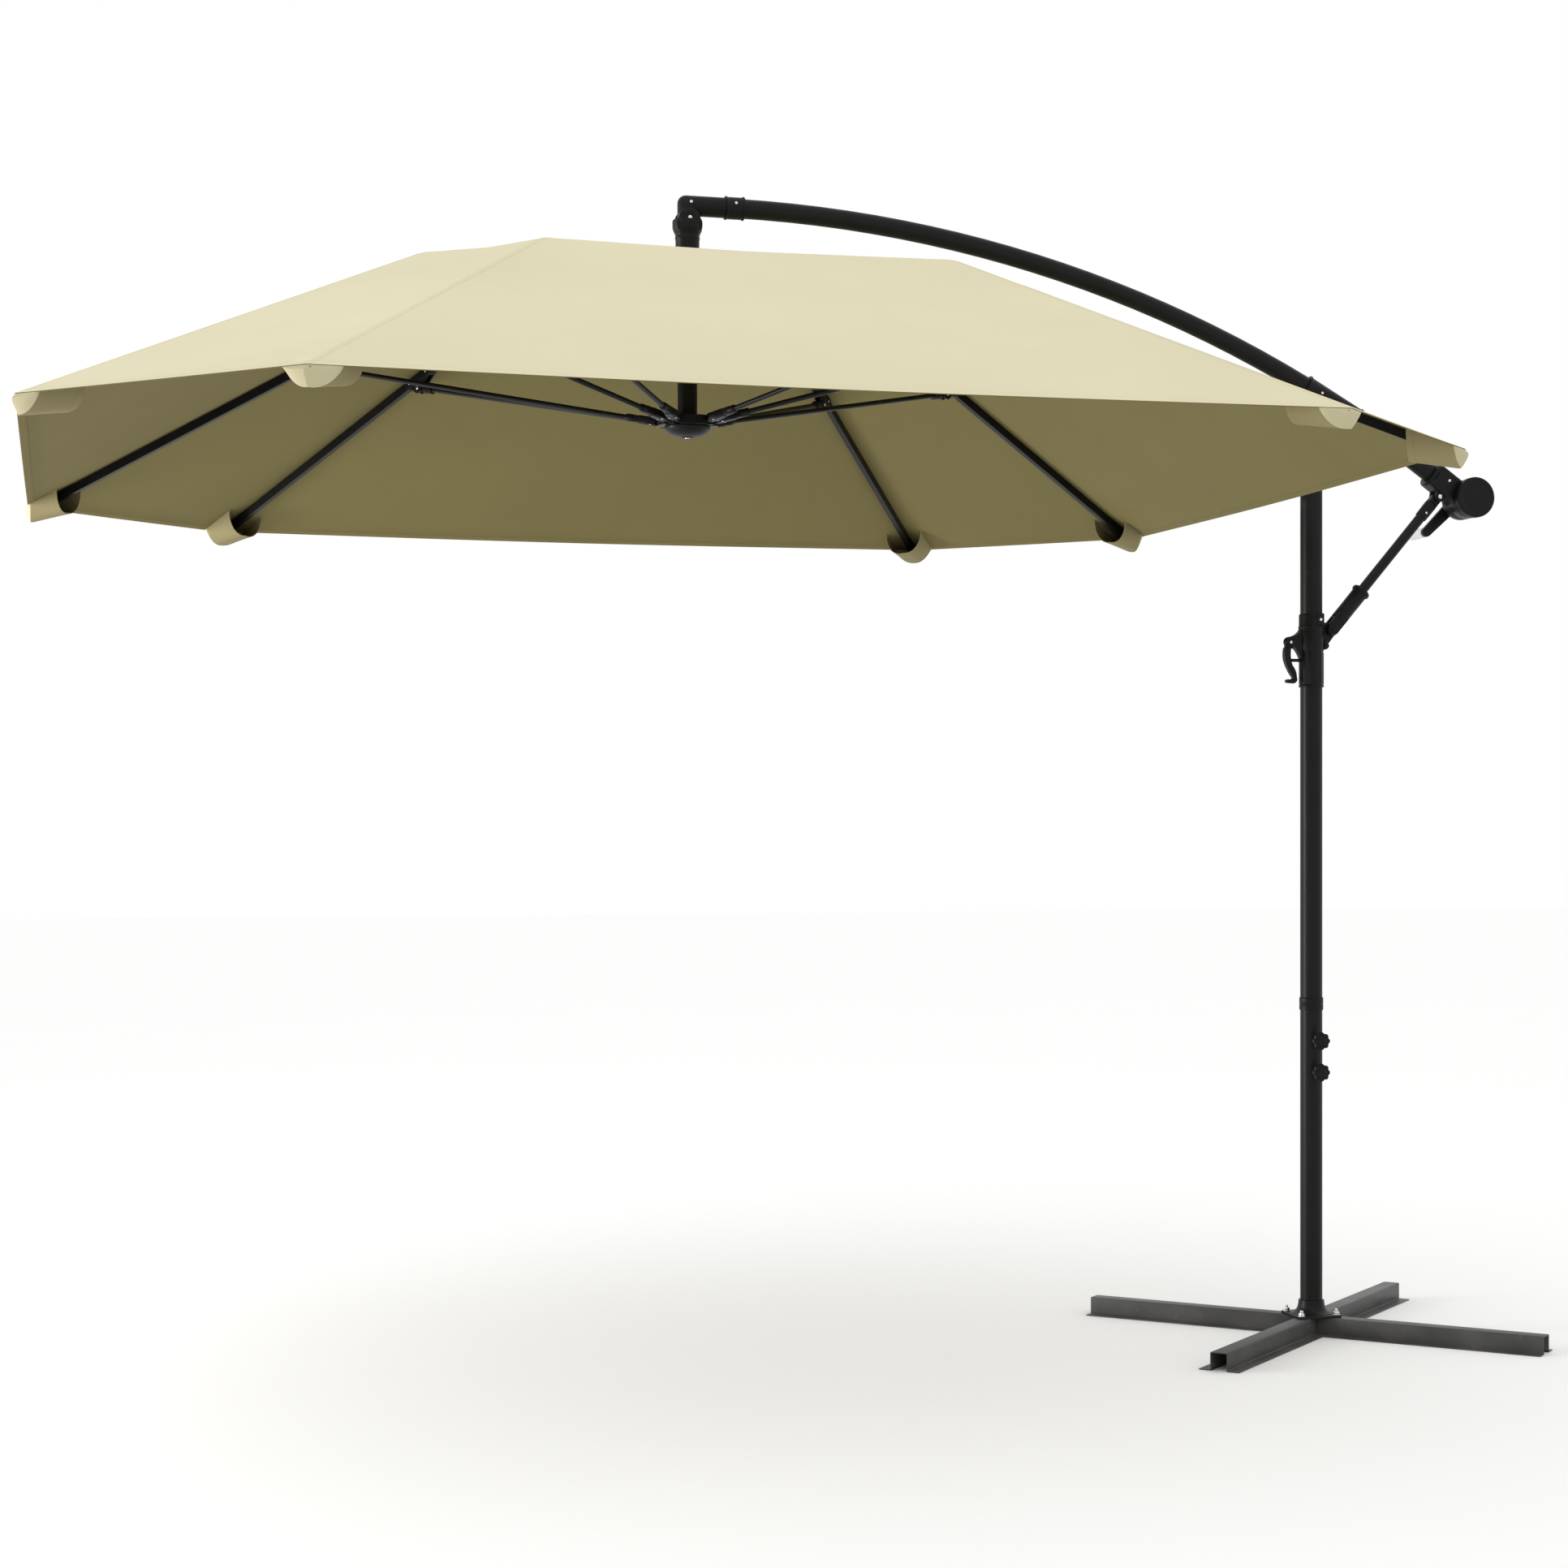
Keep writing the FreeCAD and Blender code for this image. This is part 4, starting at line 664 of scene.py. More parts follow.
def thickened(piece, sizes, folded, cloths):
    """Gives the cloth its thickness, double where it is folded."""
    for cloth in cloths:
        piece.data.materials.append(finishes[cloth])
    group = piece.vertex_groups.new(name="folded")
    group.add(folded, 1.0, "REPLACE")
    take(piece)
    solidify = piece.modifiers.new("cloth", "SOLIDIFY")
    solidify.thickness = sizes.thickness
    solidify.offset = 0
    solidify.vertex_group = group.name
    solidify.thickness_vertex_group = 0.5
    bpy.ops.object.modifier_apply(modifier=solidify.name)
    piece.vertex_groups.clear()


def canopy_sheet(sizes, number, before, after):
    """The fabric carried by one rib, out to the middle of the gap on both sides."""
    rows = cloth_stations(sizes)
    left = [(before, -1, across) for across in reversed(cloth_columns(before))]
    right = [(after, 1, across) for across in cloth_columns(after)]
    columns = left + [(after, 1, "rib")] + right
    clear_selection()
    bpy.ops.mesh.primitive_grid_add(x_subdivisions=len(columns) - 1, y_subdivisions=len(rows) - 1, size=1)
    piece = bpy.context.active_object
    slope_length, facing_down = 1.09, -0.25
    places, folded = {}, []
    for vertex in piece.data.vertices:
        row, column = divmod(vertex.index, len(columns))
        gap, side, across = columns[column]
        distance = rows[row]
        point = cloth_point(sizes, gap, across, distance)
        half_gap = math.radians(gap)
        along = point.x * math.sin(half_gap) - point.y * math.cos(half_gap)
        vertex.co = (point.x, point.y * side, point.z)
        inward = (sizes.tip_radius - distance) * math.cos(half_gap) * slope_length
        places[vertex.index] = ((point.y * side, distance), (inward, along))
        if across in ("rib", "fold") or distance > sizes.tip_radius - sizes.hem - 0.0005:
            folded.append(vertex.index)
    write_cloth_maps(piece, places)
    area = sum(face.area for face in piece.data.polygons)
    take(piece)
    bpy.ops.object.mode_set(mode="EDIT")
    bpy.ops.mesh.select_all(action="SELECT")
    bpy.ops.mesh.normals_make_consistent(inside=False)
    bpy.ops.object.mode_set(mode="OBJECT")
    if piece.data.polygons[0].normal.z < 0:
        piece.data.flip_normals()
    # Faces that look down get the darker underside colour, which is painted shade for the shade under the
    # canopy.
    thickened(piece, sizes, folded, ("canopy_fabric", "canopy_shaded_underside"))
    for face in piece.data.polygons:
        face.material_index = 1 if face.normal.z < facing_down else 0
    piece.data.transform(spoke_frame(HEADINGS[number - 1]))
    piece.name = f"canopy_sheet_{number}"
    piece.data.name = piece.name
    return piece, area


def tip_pocket(sizes, number, before, after):
    """The shoe sewn under a corner: an end that hangs from the hem, and a trough open towards the mast."""
    across_steps, end_rows, trough_rows = 28, 7, 9
    end_lean, end_bulge, under_cloth = 0.006, 0.0065, 0.0012
    clear_selection()
    bpy.ops.mesh.primitive_grid_add(
        x_subdivisions=across_steps, y_subdivisions=end_rows + trough_rows, size=1)
    piece = bpy.context.active_object
    places, folded, ends = {}, [], set()
    for vertex in piece.data.vertices:
        row, column = divmod(vertex.index, across_steps + 1)
        angle = math.pi * (column / across_steps - 0.5)
        y = math.sin(angle) * sizes.pocket_half_width
        slant = abs(y) * math.tan(math.radians(after if y > 0 else before))
        down = min(1, row / end_rows)
        along = max(0, (row - end_rows) / trough_rows)
        end_x = sizes.tip_radius - slant - under_cloth - end_lean * down ** 2
        end_x += end_bulge * math.sin(math.pi * down ** 0.45) * math.cos(angle) ** 2
        x = end_x + (sizes.tip_radius - sizes.pocket_length - end_x) * along
        bottom = sizes.tip_height - sizes.pocket_drop
        bottom += sizes.pocket_rise * (sizes.tip_radius - x) / sizes.pocket_length
        fullness = max(0, math.cos(angle)) ** (1.7 - 0.75 * along)
        depth = (eased(x, sizes, TIGHT_BEND) - bottom) * fullness * down
        vertex.co = (x, y, eased(x + slant, sizes, TIGHT_BEND) - under_cloth - depth)
        from_lip = sizes.pocket_length * (1 - along) + sizes.pocket_drop * (1 - down)
        places[vertex.index] = ((y, 0.5), (from_lip, y))
        if row in (0, 1) or row >= end_rows + trough_rows - 1:
            folded.append(vertex.index)
        if row <= end_rows:
            ends.add(vertex.index)
    # The pocket ends get the painted-shade end colour and the troughs the darker painted-shade side colour.
    for face in piece.data.polygons:
        face.material_index = 0 if ends.issuperset(face.vertices) else 1
    write_cloth_maps(piece, places)
    thickened(piece, sizes, folded, ("shaded_pocket_end", "shaded_pocket_side"))
    piece.data.transform(spoke_frame(HEADINGS[number - 1]))
    piece.name = f"tip_pocket_{number}"
    piece.data.name = piece.name
    return piece


# ---------------------------------------------------------------- operators


class PARASOL_OT_finishes(bpy.types.Operator):
    """Makes the finishes and puts them on the frame's nodes"""

    bl_idname = "parasol.finishes"
    bl_label = "Finishes"

    def execute(self, context):
        sizes, cloth = context.scene.parasol_frame, context.scene.parasol_canopy
        finishes["frame_paint"] = powder_coat("frame_paint", sizes.paint)
        # The base's finish is the frame's black powder coat made lighter: painted light.
        finishes["lit_base_paint"] = powder_coat("lit_base_paint", sizes.lit_base_paint)
        finishes["black_plastic"] = moulded_plastic("black_plastic", sizes.plastic, 0.36)
        finishes["grey_grip"] = moulded_plastic("grey_grip", sizes.grip, 0.42)
        finishes["bright_steel"] = plated_steel(sizes.steel)
        finishes["cord"] = braided_cord(sizes.cord)
        finishes["canopy_fabric"] = woven_cloth("canopy_cloth", cloth.outside, cloth, 0.05)
        # The underside finish is the outside cloth darkened: painted shade.
        finishes["canopy_shaded_underside"] = woven_cloth("canopy_painted_shade_cloth", cloth.shaded_underside, cloth, 0.0)
        # The pocket end finish is the outside cloth darkened: painted shade.
        finishes["shaded_pocket_end"] = woven_cloth("pocket_end_cloth", cloth.shaded_pocket_end, cloth, 0.05)
        # The pocket side finish is the outside cloth darkened further: painted shade.
        finishes["shaded_pocket_side"] = woven_cloth("pocket_side_cloth", cloth.shaded_pocket_side, cloth, 0.0)
        for part in frame["record"]["subparts"]:
            node = frame["nodes"][part["node"]]
            node.data.materials.clear()
            node.data.materials.append(finishes[part["material_slot"]])
        coloured(frame["nodes"]["brake_plunger"], "frame_paint")
        return {"FINISHED"}


class PARASOL_OT_canopy(bpy.types.Operator):
    """Lays eight sectors of fabric over the ribs, with their tip pockets"""

    bl_idname = "parasol.canopy"
    bl_label = "Canopy"

    def execute(self, context):
        sizes = context.scene.parasol_canopy
        sheet_kept, pocket_kept = 0.09, 0.42
        for number, heading in enumerate(HEADINGS, start=1):
            before, after = (WIDE_GAP, NARROW_GAP) if number % 2 else (NARROW_GAP, WIDE_GAP)
            sheet, area = canopy_sheet(sizes, number, before, after)
            pocket = tip_pocket(sizes, number, before, after)
            for piece, keep in ((sheet, sheet_kept), (pocket, pocket_kept)):
                finished(piece, f"rib_body_{number}", "canopy_fabric", angle=24)
                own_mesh(piece)
            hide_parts(f"canopy_panel_{number}")
        return {"FINISHED"}


# ---------------------------------------------------------------- base and mast


def hat_arm(name, start, length, heading):
    """A folded channel with its flanges, which stop short of the other arm's flange."""
    half, over, sheet, height = 19, 44, 2, 38
    web = [(-half, 0), (-half, height), (half, height), (half, 0), (half - sheet, 0),
           (half - sheet, height - sheet), (sheet - half, height - sheet), (sheet - half, 0)]
    radii = [0.3, 3, 3, 0.3, 0.3, 1.2, 1.2, 0.3]
    turn = Quaternion(Z_AXIS, math.radians(heading + 90))
    direction = Vector((math.cos(math.radians(heading)), math.sin(math.radians(heading)), 0))
    middle = direction * (start + length / 2)
    parts = [plate(name, rounded(web, radii), length, middle, turn)]
    flange_start = max(start, over + 0.5) if start > 0 else start
    flange_length = start + length - flange_start
    flange_middle = direction * (flange_start + flange_length / 2)
    for side in (-1, 1):
        inner = side * (half - sheet)
        lip = [(inner, 0), (side * over, 0), (side * over, sheet), (side * (half + 1.6), sheet),
               (side * half, sheet + 1.6), (inner, sheet + 1.6)]
        flange = rounded(lip, [0.2, 0.8, 0.8, 0.8, 0.2, 0.2])
        parts.append(plate(name, flange, flange_length, flange_middle, turn))
    return softened(joined(name, parts), 0.0004, 2, 50)


class PARASOL_OT_cross_base(bpy.types.Operator):
    """Folds the arms of the cross, and makes the foot flange and its bolts"""

    bl_idname = "parasol.cross_base"
    bl_label = "Cross base"

    def execute(self, context):
        edge = context.scene.parasol_frame.edge
        reach, web_clear = 520, 19.6
        # The arms get the lighter painted-light copy of the black powder coat.
        long_arm = coloured(hat_arm("base_long_arm", -reach, 2 * reach, 45), "lit_base_paint")
        finished(long_arm, "base", "frame_paint", ["cross_arm_long"])
        halves = joined("base_half_arms", [
            hat_arm("half", web_clear, reach - web_clear, heading) for heading in (-45, 135)])
        coloured(halves, "lit_base_paint")
        finished(halves, "base", "frame_paint", ["cross_arm_halves"])
        square = rounded([(-51, -51), (51, -51), (51, 51), (-51, 51)], 9, 6)
        lie_flat = Quaternion(X_AXIS, math.pi / 2)
        sole = softened(plate("sole", square, 5, (0, 0, 40.5), lie_flat), edge)
        neck = turned("neck", [
            (24.3, 42.6), (46, 42.6), (45.6, 44.2), (42, 45.4), (37, 47.4), (33, 50.8), (30.4, 55.5),
            (28.9, 61), (28.1, 66), (28, 70.6), (27.2, 72), (25, 72.2), (24.3, 71.4),
            (24.3, 42.6)], segments=64)
        finished(joined("foot_flange_cast", [sole, neck]), "base", "frame_paint", ["foot_flange"])
        thread = [(3.9, -8), (3.9, 7)]
        for turn in range(4):
            thread += [(3.4, 7.4 + turn * 1.1), (3.9, 7.9 + turn * 1.1)]
        bolt = joined("bolt", [
            softened(turned("washer", [(8.2, 0), (8.2, 1.5), (4.2, 1.6)], segments=32), 0.0002),
            softened(turned("nut", [(7.2, 1.4), (7.2, 7.0)], segments=6), 0.0007),
            turned("thread", thread + [(3.4, 12.4), (2.2, 13), (0, 13.1)], segments=20),
            softened(turned("head", [(7.5, -10.6), (7.5, -7.1)], segments=6), 0.0006)])
        copies, bolt_circle, sole_top = [], 57, 43
        for heading in (45, 135, 225, 315):
            angle = math.radians(heading)
            place = Vector((bolt_circle * math.cos(angle), bolt_circle * math.sin(angle), sole_top)) * MM
            spin = Matrix.Rotation(angle * 1.7, 4, "Z")
            copies.append(moved_copy(bolt, f"bolt_{heading}", Matrix.Translation(place) @ spin))
        discard(bolt)
        finished(joined("foot_bolt_set", copies), "base", "bright_steel", ["foot_bolts"])
        return {"FINISHED"}


class PARASOL_OT_mast_fittings(bpy.types.Operator):
    """Makes the ring over the mast's joint and the two star knobs"""

    bl_idname = "parasol.mast_fittings"
    bl_label = "Mast fittings"

    def execute(self, context):
        ring = turned("joint_ring_cover", [
            (24.2, 702.6), (25.2, 702.6), (26, 703.5), (26, 713.8), (25.6, 714.4), (25.6, 715.8),
            (26, 716.4), (26, 728.6), (25.3, 730), (24.2, 730.2), (24.2, 702.6)], segments=72)
        finished(ring, "base", "black_plastic", ["mast_joint_ring"])
        knob = turned("star_knob", [
            (0, 22.7), (4, 22.7), (4, 37), (8.6, 37.3), (9.4, 38), (10.2, 43), (12, 46.2), (16.4, 47),
            (18.6, 48.2), (19.4, 50), (19.5, 52.6), (19.4, 55.2), (18.6, 57), (17, 58.2), (14.6, 58.7),
            (13.6, 58.2), (12.8, 57.8), (11.8, 58.2), (10.6, 59), (7, 59.7), (0, 60)],
            axis=-Y_AXIS, segments=96)
        points, round_within, star_width, depth = 8, 12, 7.5, 0.15
        for vertex in knob.data.vertices:
            flat = Vector((vertex.co.x, 0, vertex.co.z))
            reach = (flat.length / MM - round_within) / star_width
            if reach > 0:
                valley = (0.5 - 0.5 * math.cos(points * math.atan2(flat.z, flat.x))) ** 1.6
                pull = 1 - depth * min(1, reach) * valley
                vertex.co = Vector((flat.x * pull, vertex.co.y, flat.z * pull))
        for name, height in (("upper", 638), ("lower", 570)):
            copy = moved_copy(knob, f"star_knob_{name}", Matrix.Translation((0, 0, height * MM)))
            finished(copy, f"knob_{name}", "black_plastic", [f"clamp_knob_{name}"])
        discard(knob)
        return {"FINISHED"}


# ---------------------------------------------------------------- collar, lever and strut


class PARASOL_OT_slide_collar(bpy.types.Operator):
    """Moulds the sliding collar with its lug, its lever housing and its screw block"""

    bl_idname = "parasol.slide_collar"
    bl_label = "Slide collar"

    def execute(self, context):
        edge = context.scene.parasol_frame.edge
        sleeve = turned("collar_sleeve", [
            (24.45, 1405), (26.7, 1405), (27.3, 1405.7), (27.3, 1409), (26.3, 1410.4), (26.2, 1411.2),
            (26.2, 1412.4), (26.2, 1478.8), (26.2, 1480), (25.9, 1482.6), (26.4, 1484), (27.5, 1485.4),
            (27.5, 1525), (26.7, 1526.8), (27.4, 1527.8), (28.3, 1528.8), (28.4, 1530.4), (27.5, 1532),
            (28.3, 1533.4), (28.4, 1535.6), (27.4, 1537.4), (27, 1538.4), (27, 1560.4), (26.6, 1562.4),
            (25.8, 1563.8), (24.45, 1564), (24.45, 1405)], segments=96)
        ridges, ridge_height, bore = 12, 0.95, 25.5
        for vertex in sleeve.data.vertices:
            flat = Vector((vertex.co.x, vertex.co.y, 0))
            if 1412 < vertex.co.z / MM < 1479 and flat.length > bore * MM:
                ridge = max(0, math.cos(ridges * math.atan2(flat.y, flat.x))) ** 0.7
                push = 1 + ridge_height * MM * ridge / flat.length
                vertex.co = Vector((flat.x * push, flat.y * push, vertex.co.z))
        lug = drawn((24.6, 1487), (28, 1487), (54, 1521), ((57, 1534), (45, 1544)), (34, 1546), (24.6, 1546))
        root = drawn((24.6, 1486), (28, 1487), ((33, 1489), (36.5, 1496)), (32, 1506), (24.6, 1509))
        housing = drawn(
            (-24.6, 1533), ((-36, 1520), (-53, 1514)), ((-61, 1508), (-62, 1499)), (-58, 1497), (-47, 1493.5),
            ((-36, 1484), (-24.6, 1458)))
        saddle = drawn(
            (-24.6, 1533), ((-34, 1521), (-41.5, 1517)), (-41.5, 1490), ((-35, 1482), (-24.6, 1458)))
        block = rounded([(2, 1538.5), (18, 1538.5), (18, 1564.5), (2, 1564.5)], 2)
        parts = [
            sleeve,
            softened(plate("lug", lug, 14), edge * 1.4, 3),
            softened(plate("root", root, 30), edge * 2, 3),
            softened(plate("saddle", saddle, 18), edge),
            softened(plate("cheek_front", housing, 3.5, (0, -7.2, 0)), edge, 3),
            softened(plate("cheek_back", housing, 3.5, (0, 7.2, 0)), edge, 3),
            softened(plate("screw_block", block, 9, (0, -24.6, 0)), edge),
        ]
        for part in parts:
            coloured(part, "black_plastic")
        parts.append(dome("collar_screw", 3.4, 1.8, (10, -29, 1551), -Y_AXIS))
        finished(joined("collar_moulding", parts), "collar", "black_plastic", ["slide_collar"])
        cap = [(12.4, 15.8), (12.4, 17.2), (11.4, 18.8), (9.4, 19.4), (8.2, 18.9), (6.4, 18.8), (0, 18.8)]
        pins = []
        for side in (-1, 1):
            way = Y_AXIS * side
            pins.append(coloured(turned("foot_pin_cap", cap, STRUT_FOOT, way), "black_plastic"))
            pins.append(dome("foot_pin_head", 5.2, 2.2, STRUT_FOOT + way * 18.8, way, slot="black_plastic"))
            pins.append(dome("lever_pin_head", 3.4, 1.6, LEVER_PIVOT + way * 9, way))
        shanks = (("foot_pin_shank", 4.9, 16, STRUT_FOOT), ("lever_pin_shank", 2.5, 9, LEVER_PIVOT))
        for name, radius, half, place in shanks:
            shank = turned(name, [(radius, -half), (radius, half)], place, Y_AXIS)
            pins.append(coloured(shank, "bright_steel"))
        finished(joined("collar_pin_set", pins), "collar", "bright_steel", ["collar_pins"])
        return {"FINISHED"}


class PARASOL_OT_latch_lever(bpy.types.Operator):
    """Shapes the S-shaped latch lever"""

    bl_idname = "parasol.latch_lever"
    bl_label = "Latch lever"

    def execute(self, context):
        edge = context.scene.parasol_frame.edge
        tongue = drawn((-60, 1488), ((-62.5, 1500), (-58, 1508)), ((-51, 1509.5), (-46, 1506)), (-46, 1488))
        blade = drawn(
            (-63.5, 1491.5), ((-65.5, 1478), (-64.5, 1464)), ((-60, 1451), (-46.5, 1428)),
            ((-45.2, 1423.5), (-49, 1421.2)), (-56.5, 1421.6), ((-60.3, 1417.6), (-56.5, 1413.6)),
            (-43, 1412.6), ((-36.6, 1417), (-36.2, 1426)), ((-39, 1440), (-46.5, 1452)),
            ((-49.3, 1462), (-49.3, 1490.5)))
        parts = [
            softened(plate("lever_tongue", tongue, 9.8), edge, 2),
            softened(plate("lever_blade", blade, 16), edge * 2.6, 4, 40),
        ]
        finished(joined("latch_lever_moulding", parts), "lever", "black_plastic", ["latch_lever"], 50)
        return {"FINISHED"}


class PARASOL_OT_strut_ends(bpy.types.Operator):
    """Moulds the strut's forked socket and its upper end"""

    bl_idname = "parasol.strut_ends"
    bl_label = "Strut ends"

    def execute(self, context):
        edge = context.scene.parasol_frame.edge
        foot, head = STRUT_FOOT, STRUT_HEAD
        along = (head - foot).normalized()
        turn = Z_AXIS.rotation_difference(along)
        sleeve = turned("socket_sleeve", [
            (0, 24), (13, 24), (15.4, 25.4), (17.2, 29), (17.5, 34), (17.2, 60), (17.4, 104), (18.4, 106),
            (20, 107.2), (20.6, 108.6), (20.6, 112.6), (19.8, 114.4), (18, 115.6), (13, 116.2),
            (11.1, 115.6), (11.1, 100), (0, 100)], foot, along, 48)
        cheek = drawn((-14, 40), (-14, 0), ((0, -14), (14, 0)), (14, 40), ((0, 46), (-14, 40)))
        cheeks = [
            softened(plate("socket_cheek", cheek, 7.3, foot + Y_AXIS * 11.35 * side, turn), edge * 1.6, 3)
            for side in (-1, 1)]
        for part in (sleeve, *cheeks):
            coloured(part, "black_plastic")
        rivets = []
        for way in (-Y_AXIS, Y_AXIS):
            place = foot + along * 66 + way * 17.1
            rivets.append(dome("socket_rivet", 2.6, 1.4, place, way, slot="black_plastic"))
        socket = joined("strut_socket_moulding", [sleeve, *cheeks, *rivets])
        finished(socket, "strut", "black_plastic", ["strut_socket"])
        plug = turned("fork_plug", [
            (0, -62), (11.2, -62), (12.4, -61), (13, -59), (13.4, -40), (13.6, -24), (12.6, -19.6),
            (10, -17.4), (0, -17)], head, along, 40)
        tongue = drawn((-11, -30), (-11, 0), ((0, 11), (11, 0)), (11, -30))
        tongue_plate = softened(plate("fork_tongue", tongue, 19.6, head, turn), edge * 1.4, 3)
        for part in (plug, tongue_plate):
            coloured(part, "black_plastic")
        rivets = [
            dome("fork_rivet", 2.6, 1.4, head - along * 48 + way * 13, way) for way in (-Y_AXIS, Y_AXIS)]
        fork = joined("strut_fork_moulding", [plug, tongue_plate, *rivets])
        finished(fork, "strut", "black_plastic", ["strut_fork"])
        return {"FINISHED"}


# ---------------------------------------------------------------- boom


class PARASOL_OT_boom_fittings(bpy.types.Operator):
    """Moulds the mast head, the boom's saddle, its end ring and its elbow"""

    bl_idname = "parasol.boom_fittings"
    bl_label = "Boom fittings"

    def execute(self, context):
        edge = context.scene.parasol_frame.edge
        cap = turned("mast_cap", [
            (24.1, 1895), (26.2, 1895), (27, 1896.2), (27, 1944), (26.4, 1947.6), (24, 1950.6), (18, 1952),
            (0, 1952)], segments=64)
        ear = drawn((-21, 1944), (-19, 1985), ((0, 2004), (19, 1985)), (21, 1944))
        ears = [
            softened(plate("mast_ear", ear, 7.8, (0, 18.1 * side, 0)), edge * 1.4, 3) for side in (-1, 1)]
        finished(joined("mast_head_casting", [cap, *ears]), "mast", "black_plastic", ["mast_head"])
        cover = [(11, 22), (11, 23.6), (10.2, 25), (8.4, 26), (0, 26.3)]
        pin = [coloured(turned("hinge_shank", [(6, -22), (6, 22)], BOOM_PIVOT, Y_AXIS), "bright_steel")]
        for way in (-Y_AXIS, Y_AXIS):
            pin.append(coloured(turned("hinge_cover", cover, BOOM_PIVOT, way), "bright_steel"))
        finished(joined("boom_hinge_pin", pin), "mast", "bright_steel", ["boom_pivot_pin"])

        low, high = boom_place(-15), boom_place(109)
        span = high - low
        length = span.length
        sleeve = turned("saddle_sleeve", [
            (20.2, 0), (24.6, 0), (25.5, 0.9), (25.5, 3.4), (24.4, 4.6), (23.5, 6), (23.5, length - 6),
            (24.4, length - 4.6), (25.5, length - 3.4), (25.5, length - 0.9), (24.6, length),
            (20.2, length), (20.2, 0)], low, span, 64)
        lug = drawn((-17, 1985), ((0, 1968), (17, 1985)), (62, 2023), (30, 2037), (-10, 2053))
        web = drawn((-16, 2053), (-20, 1990), (-17, 1985), (40, 2030))
        parts = [
            sleeve,
            softened(plate("saddle_lug", lug, 26.4), edge * 1.4, 3),
            softened(plate("saddle_web", web, 8), edge),
        ]
        for part in parts:
            coloured(part, "black_plastic")
        for share in (0.25, 0.75):
            spot = low.lerp(high, share)
            parts += [dome("saddle_rivet", 3, 1.6, spot + way * 23.3, way) for way in (-Y_AXIS, Y_AXIS)]
        finished(joined("boom_saddle_moulding", parts), "boom", "black_plastic", ["boom_saddle"])

        ring = turned("end_ring", [
            (20.9, -18), (23.4, -18), (24.3, -17.2), (24.4, -15.2), (23.6, -14), (22.7, -13), (22.6, 17),
            (23.6, 18), (24.4, 19.2), (24.3, 21.2), (23.4, 22), (20.4, 22),
            (20.9, -18)], boom_place(BOOM_BEND.x), X_AXIS, 64)
        coloured(ring, "black_plastic")
        screws = [
            dome("ring_rivet", 3.2, 1.8, (-1288, 21 * side, 2381), Y_AXIS * side) for side in (-1, 1)]
        finished(joined("boom_end_ring", [ring, *screws]), "boom", "black_plastic", ["boom_ring"])
        finished(self.elbow(edge), "boom", "black_plastic", ["boom_elbow", "boom_fasteners"])
        return {"FINISHED"}

    def elbow(self, edge):
        """A ring drawn along the boom, spun down through a right angle and drawn on to the pivot."""
        start_x, corner_x = -1305, CANOPY_X + ELBOW_BEND
        clear_selection()
        bpy.ops.mesh.primitive_circle_add(
            vertices=48, radius=ELBOW_RADIUS * MM, location=Vector((start_x, 0, BOOM_TOP_Z)) * MM,
            rotation=(0, math.pi / 2, 0))
        bend = bpy.context.active_object
        bpy.ops.object.transform_apply(location=True, rotation=True, scale=True)
        bpy.ops.object.mode_set(mode="EDIT")
        bpy.ops.mesh.select_all(action="SELECT")
        bpy.ops.mesh.extrude_region_move(
            TRANSFORM_OT_translate={"value": ((corner_x - start_x) * MM, 0, 0)})
        corner = Vector((corner_x, 0, BOOM_TOP_Z - ELBOW_BEND)) * MM
        bpy.ops.mesh.spin(steps=14, angle=math.pi / 2, center=corner, axis=(0, 1, 0), dupli=False)
        bpy.ops.mesh.extrude_region_move(TRANSFORM_OT_translate={"value": (0, 0, -12 * MM)})
        closed_up()
        self.square_off(bend, corner)
        pivot = Vector((CANOPY_X, 0, KNUCKLE_Z))
        boss = softened(turned("elbow_tongue", [(20, -13), (20, 13)], pivot, Y_AXIS, 48), edge)
        for part in (bend, boss):
            coloured(part, "black_plastic")
        shank = turned("strut_head_shank", [(5, -19), (5, 19)], STRUT_HEAD, Y_AXIS)
        parts = [bend, boss, coloured(shank, "bright_steel")]
        for way in (-Y_AXIS, Y_AXIS):
            parts.append(dome("elbow_rivet", 3.4, 1.9, pivot + Vector((4, 0, 34)) + way * 19.6, way))
            parts.append(dome("strut_head_rivet", 5.4, 2.4, STRUT_HEAD + way * 18.2, way))
        return joined("boom_elbow_moulding", parts)

    def square_off(self, bend, corner):
        """Pulls the bend into a tight corner, with its own small radius for each line along the tube."""
        inner_radius, outer_radius, slack = 3, 17, 0.0001
        for vertex in bend.data.vertices:
            across = vertex.co - corner
            if across.x > slack or across.z < -slack:
                continue
            height = math.hypot(across.x, across.z) - ELBOW_BEND * MM
            angle = math.atan2(-across.x, across.z)
            outwards = (height / MM + ELBOW_RADIUS) / (2 * ELBOW_RADIUS)
            radius = (inner_radius + (outer_radius - inner_radius) * outwards) * MM
            centre_x = CANOPY_X * MM - height + radius
            centre_z = BOOM_TOP_Z * MM + height - radius
            vertex.co.x = centre_x - radius * math.sin(angle)
            vertex.co.z = centre_z + radius * math.cos(angle)


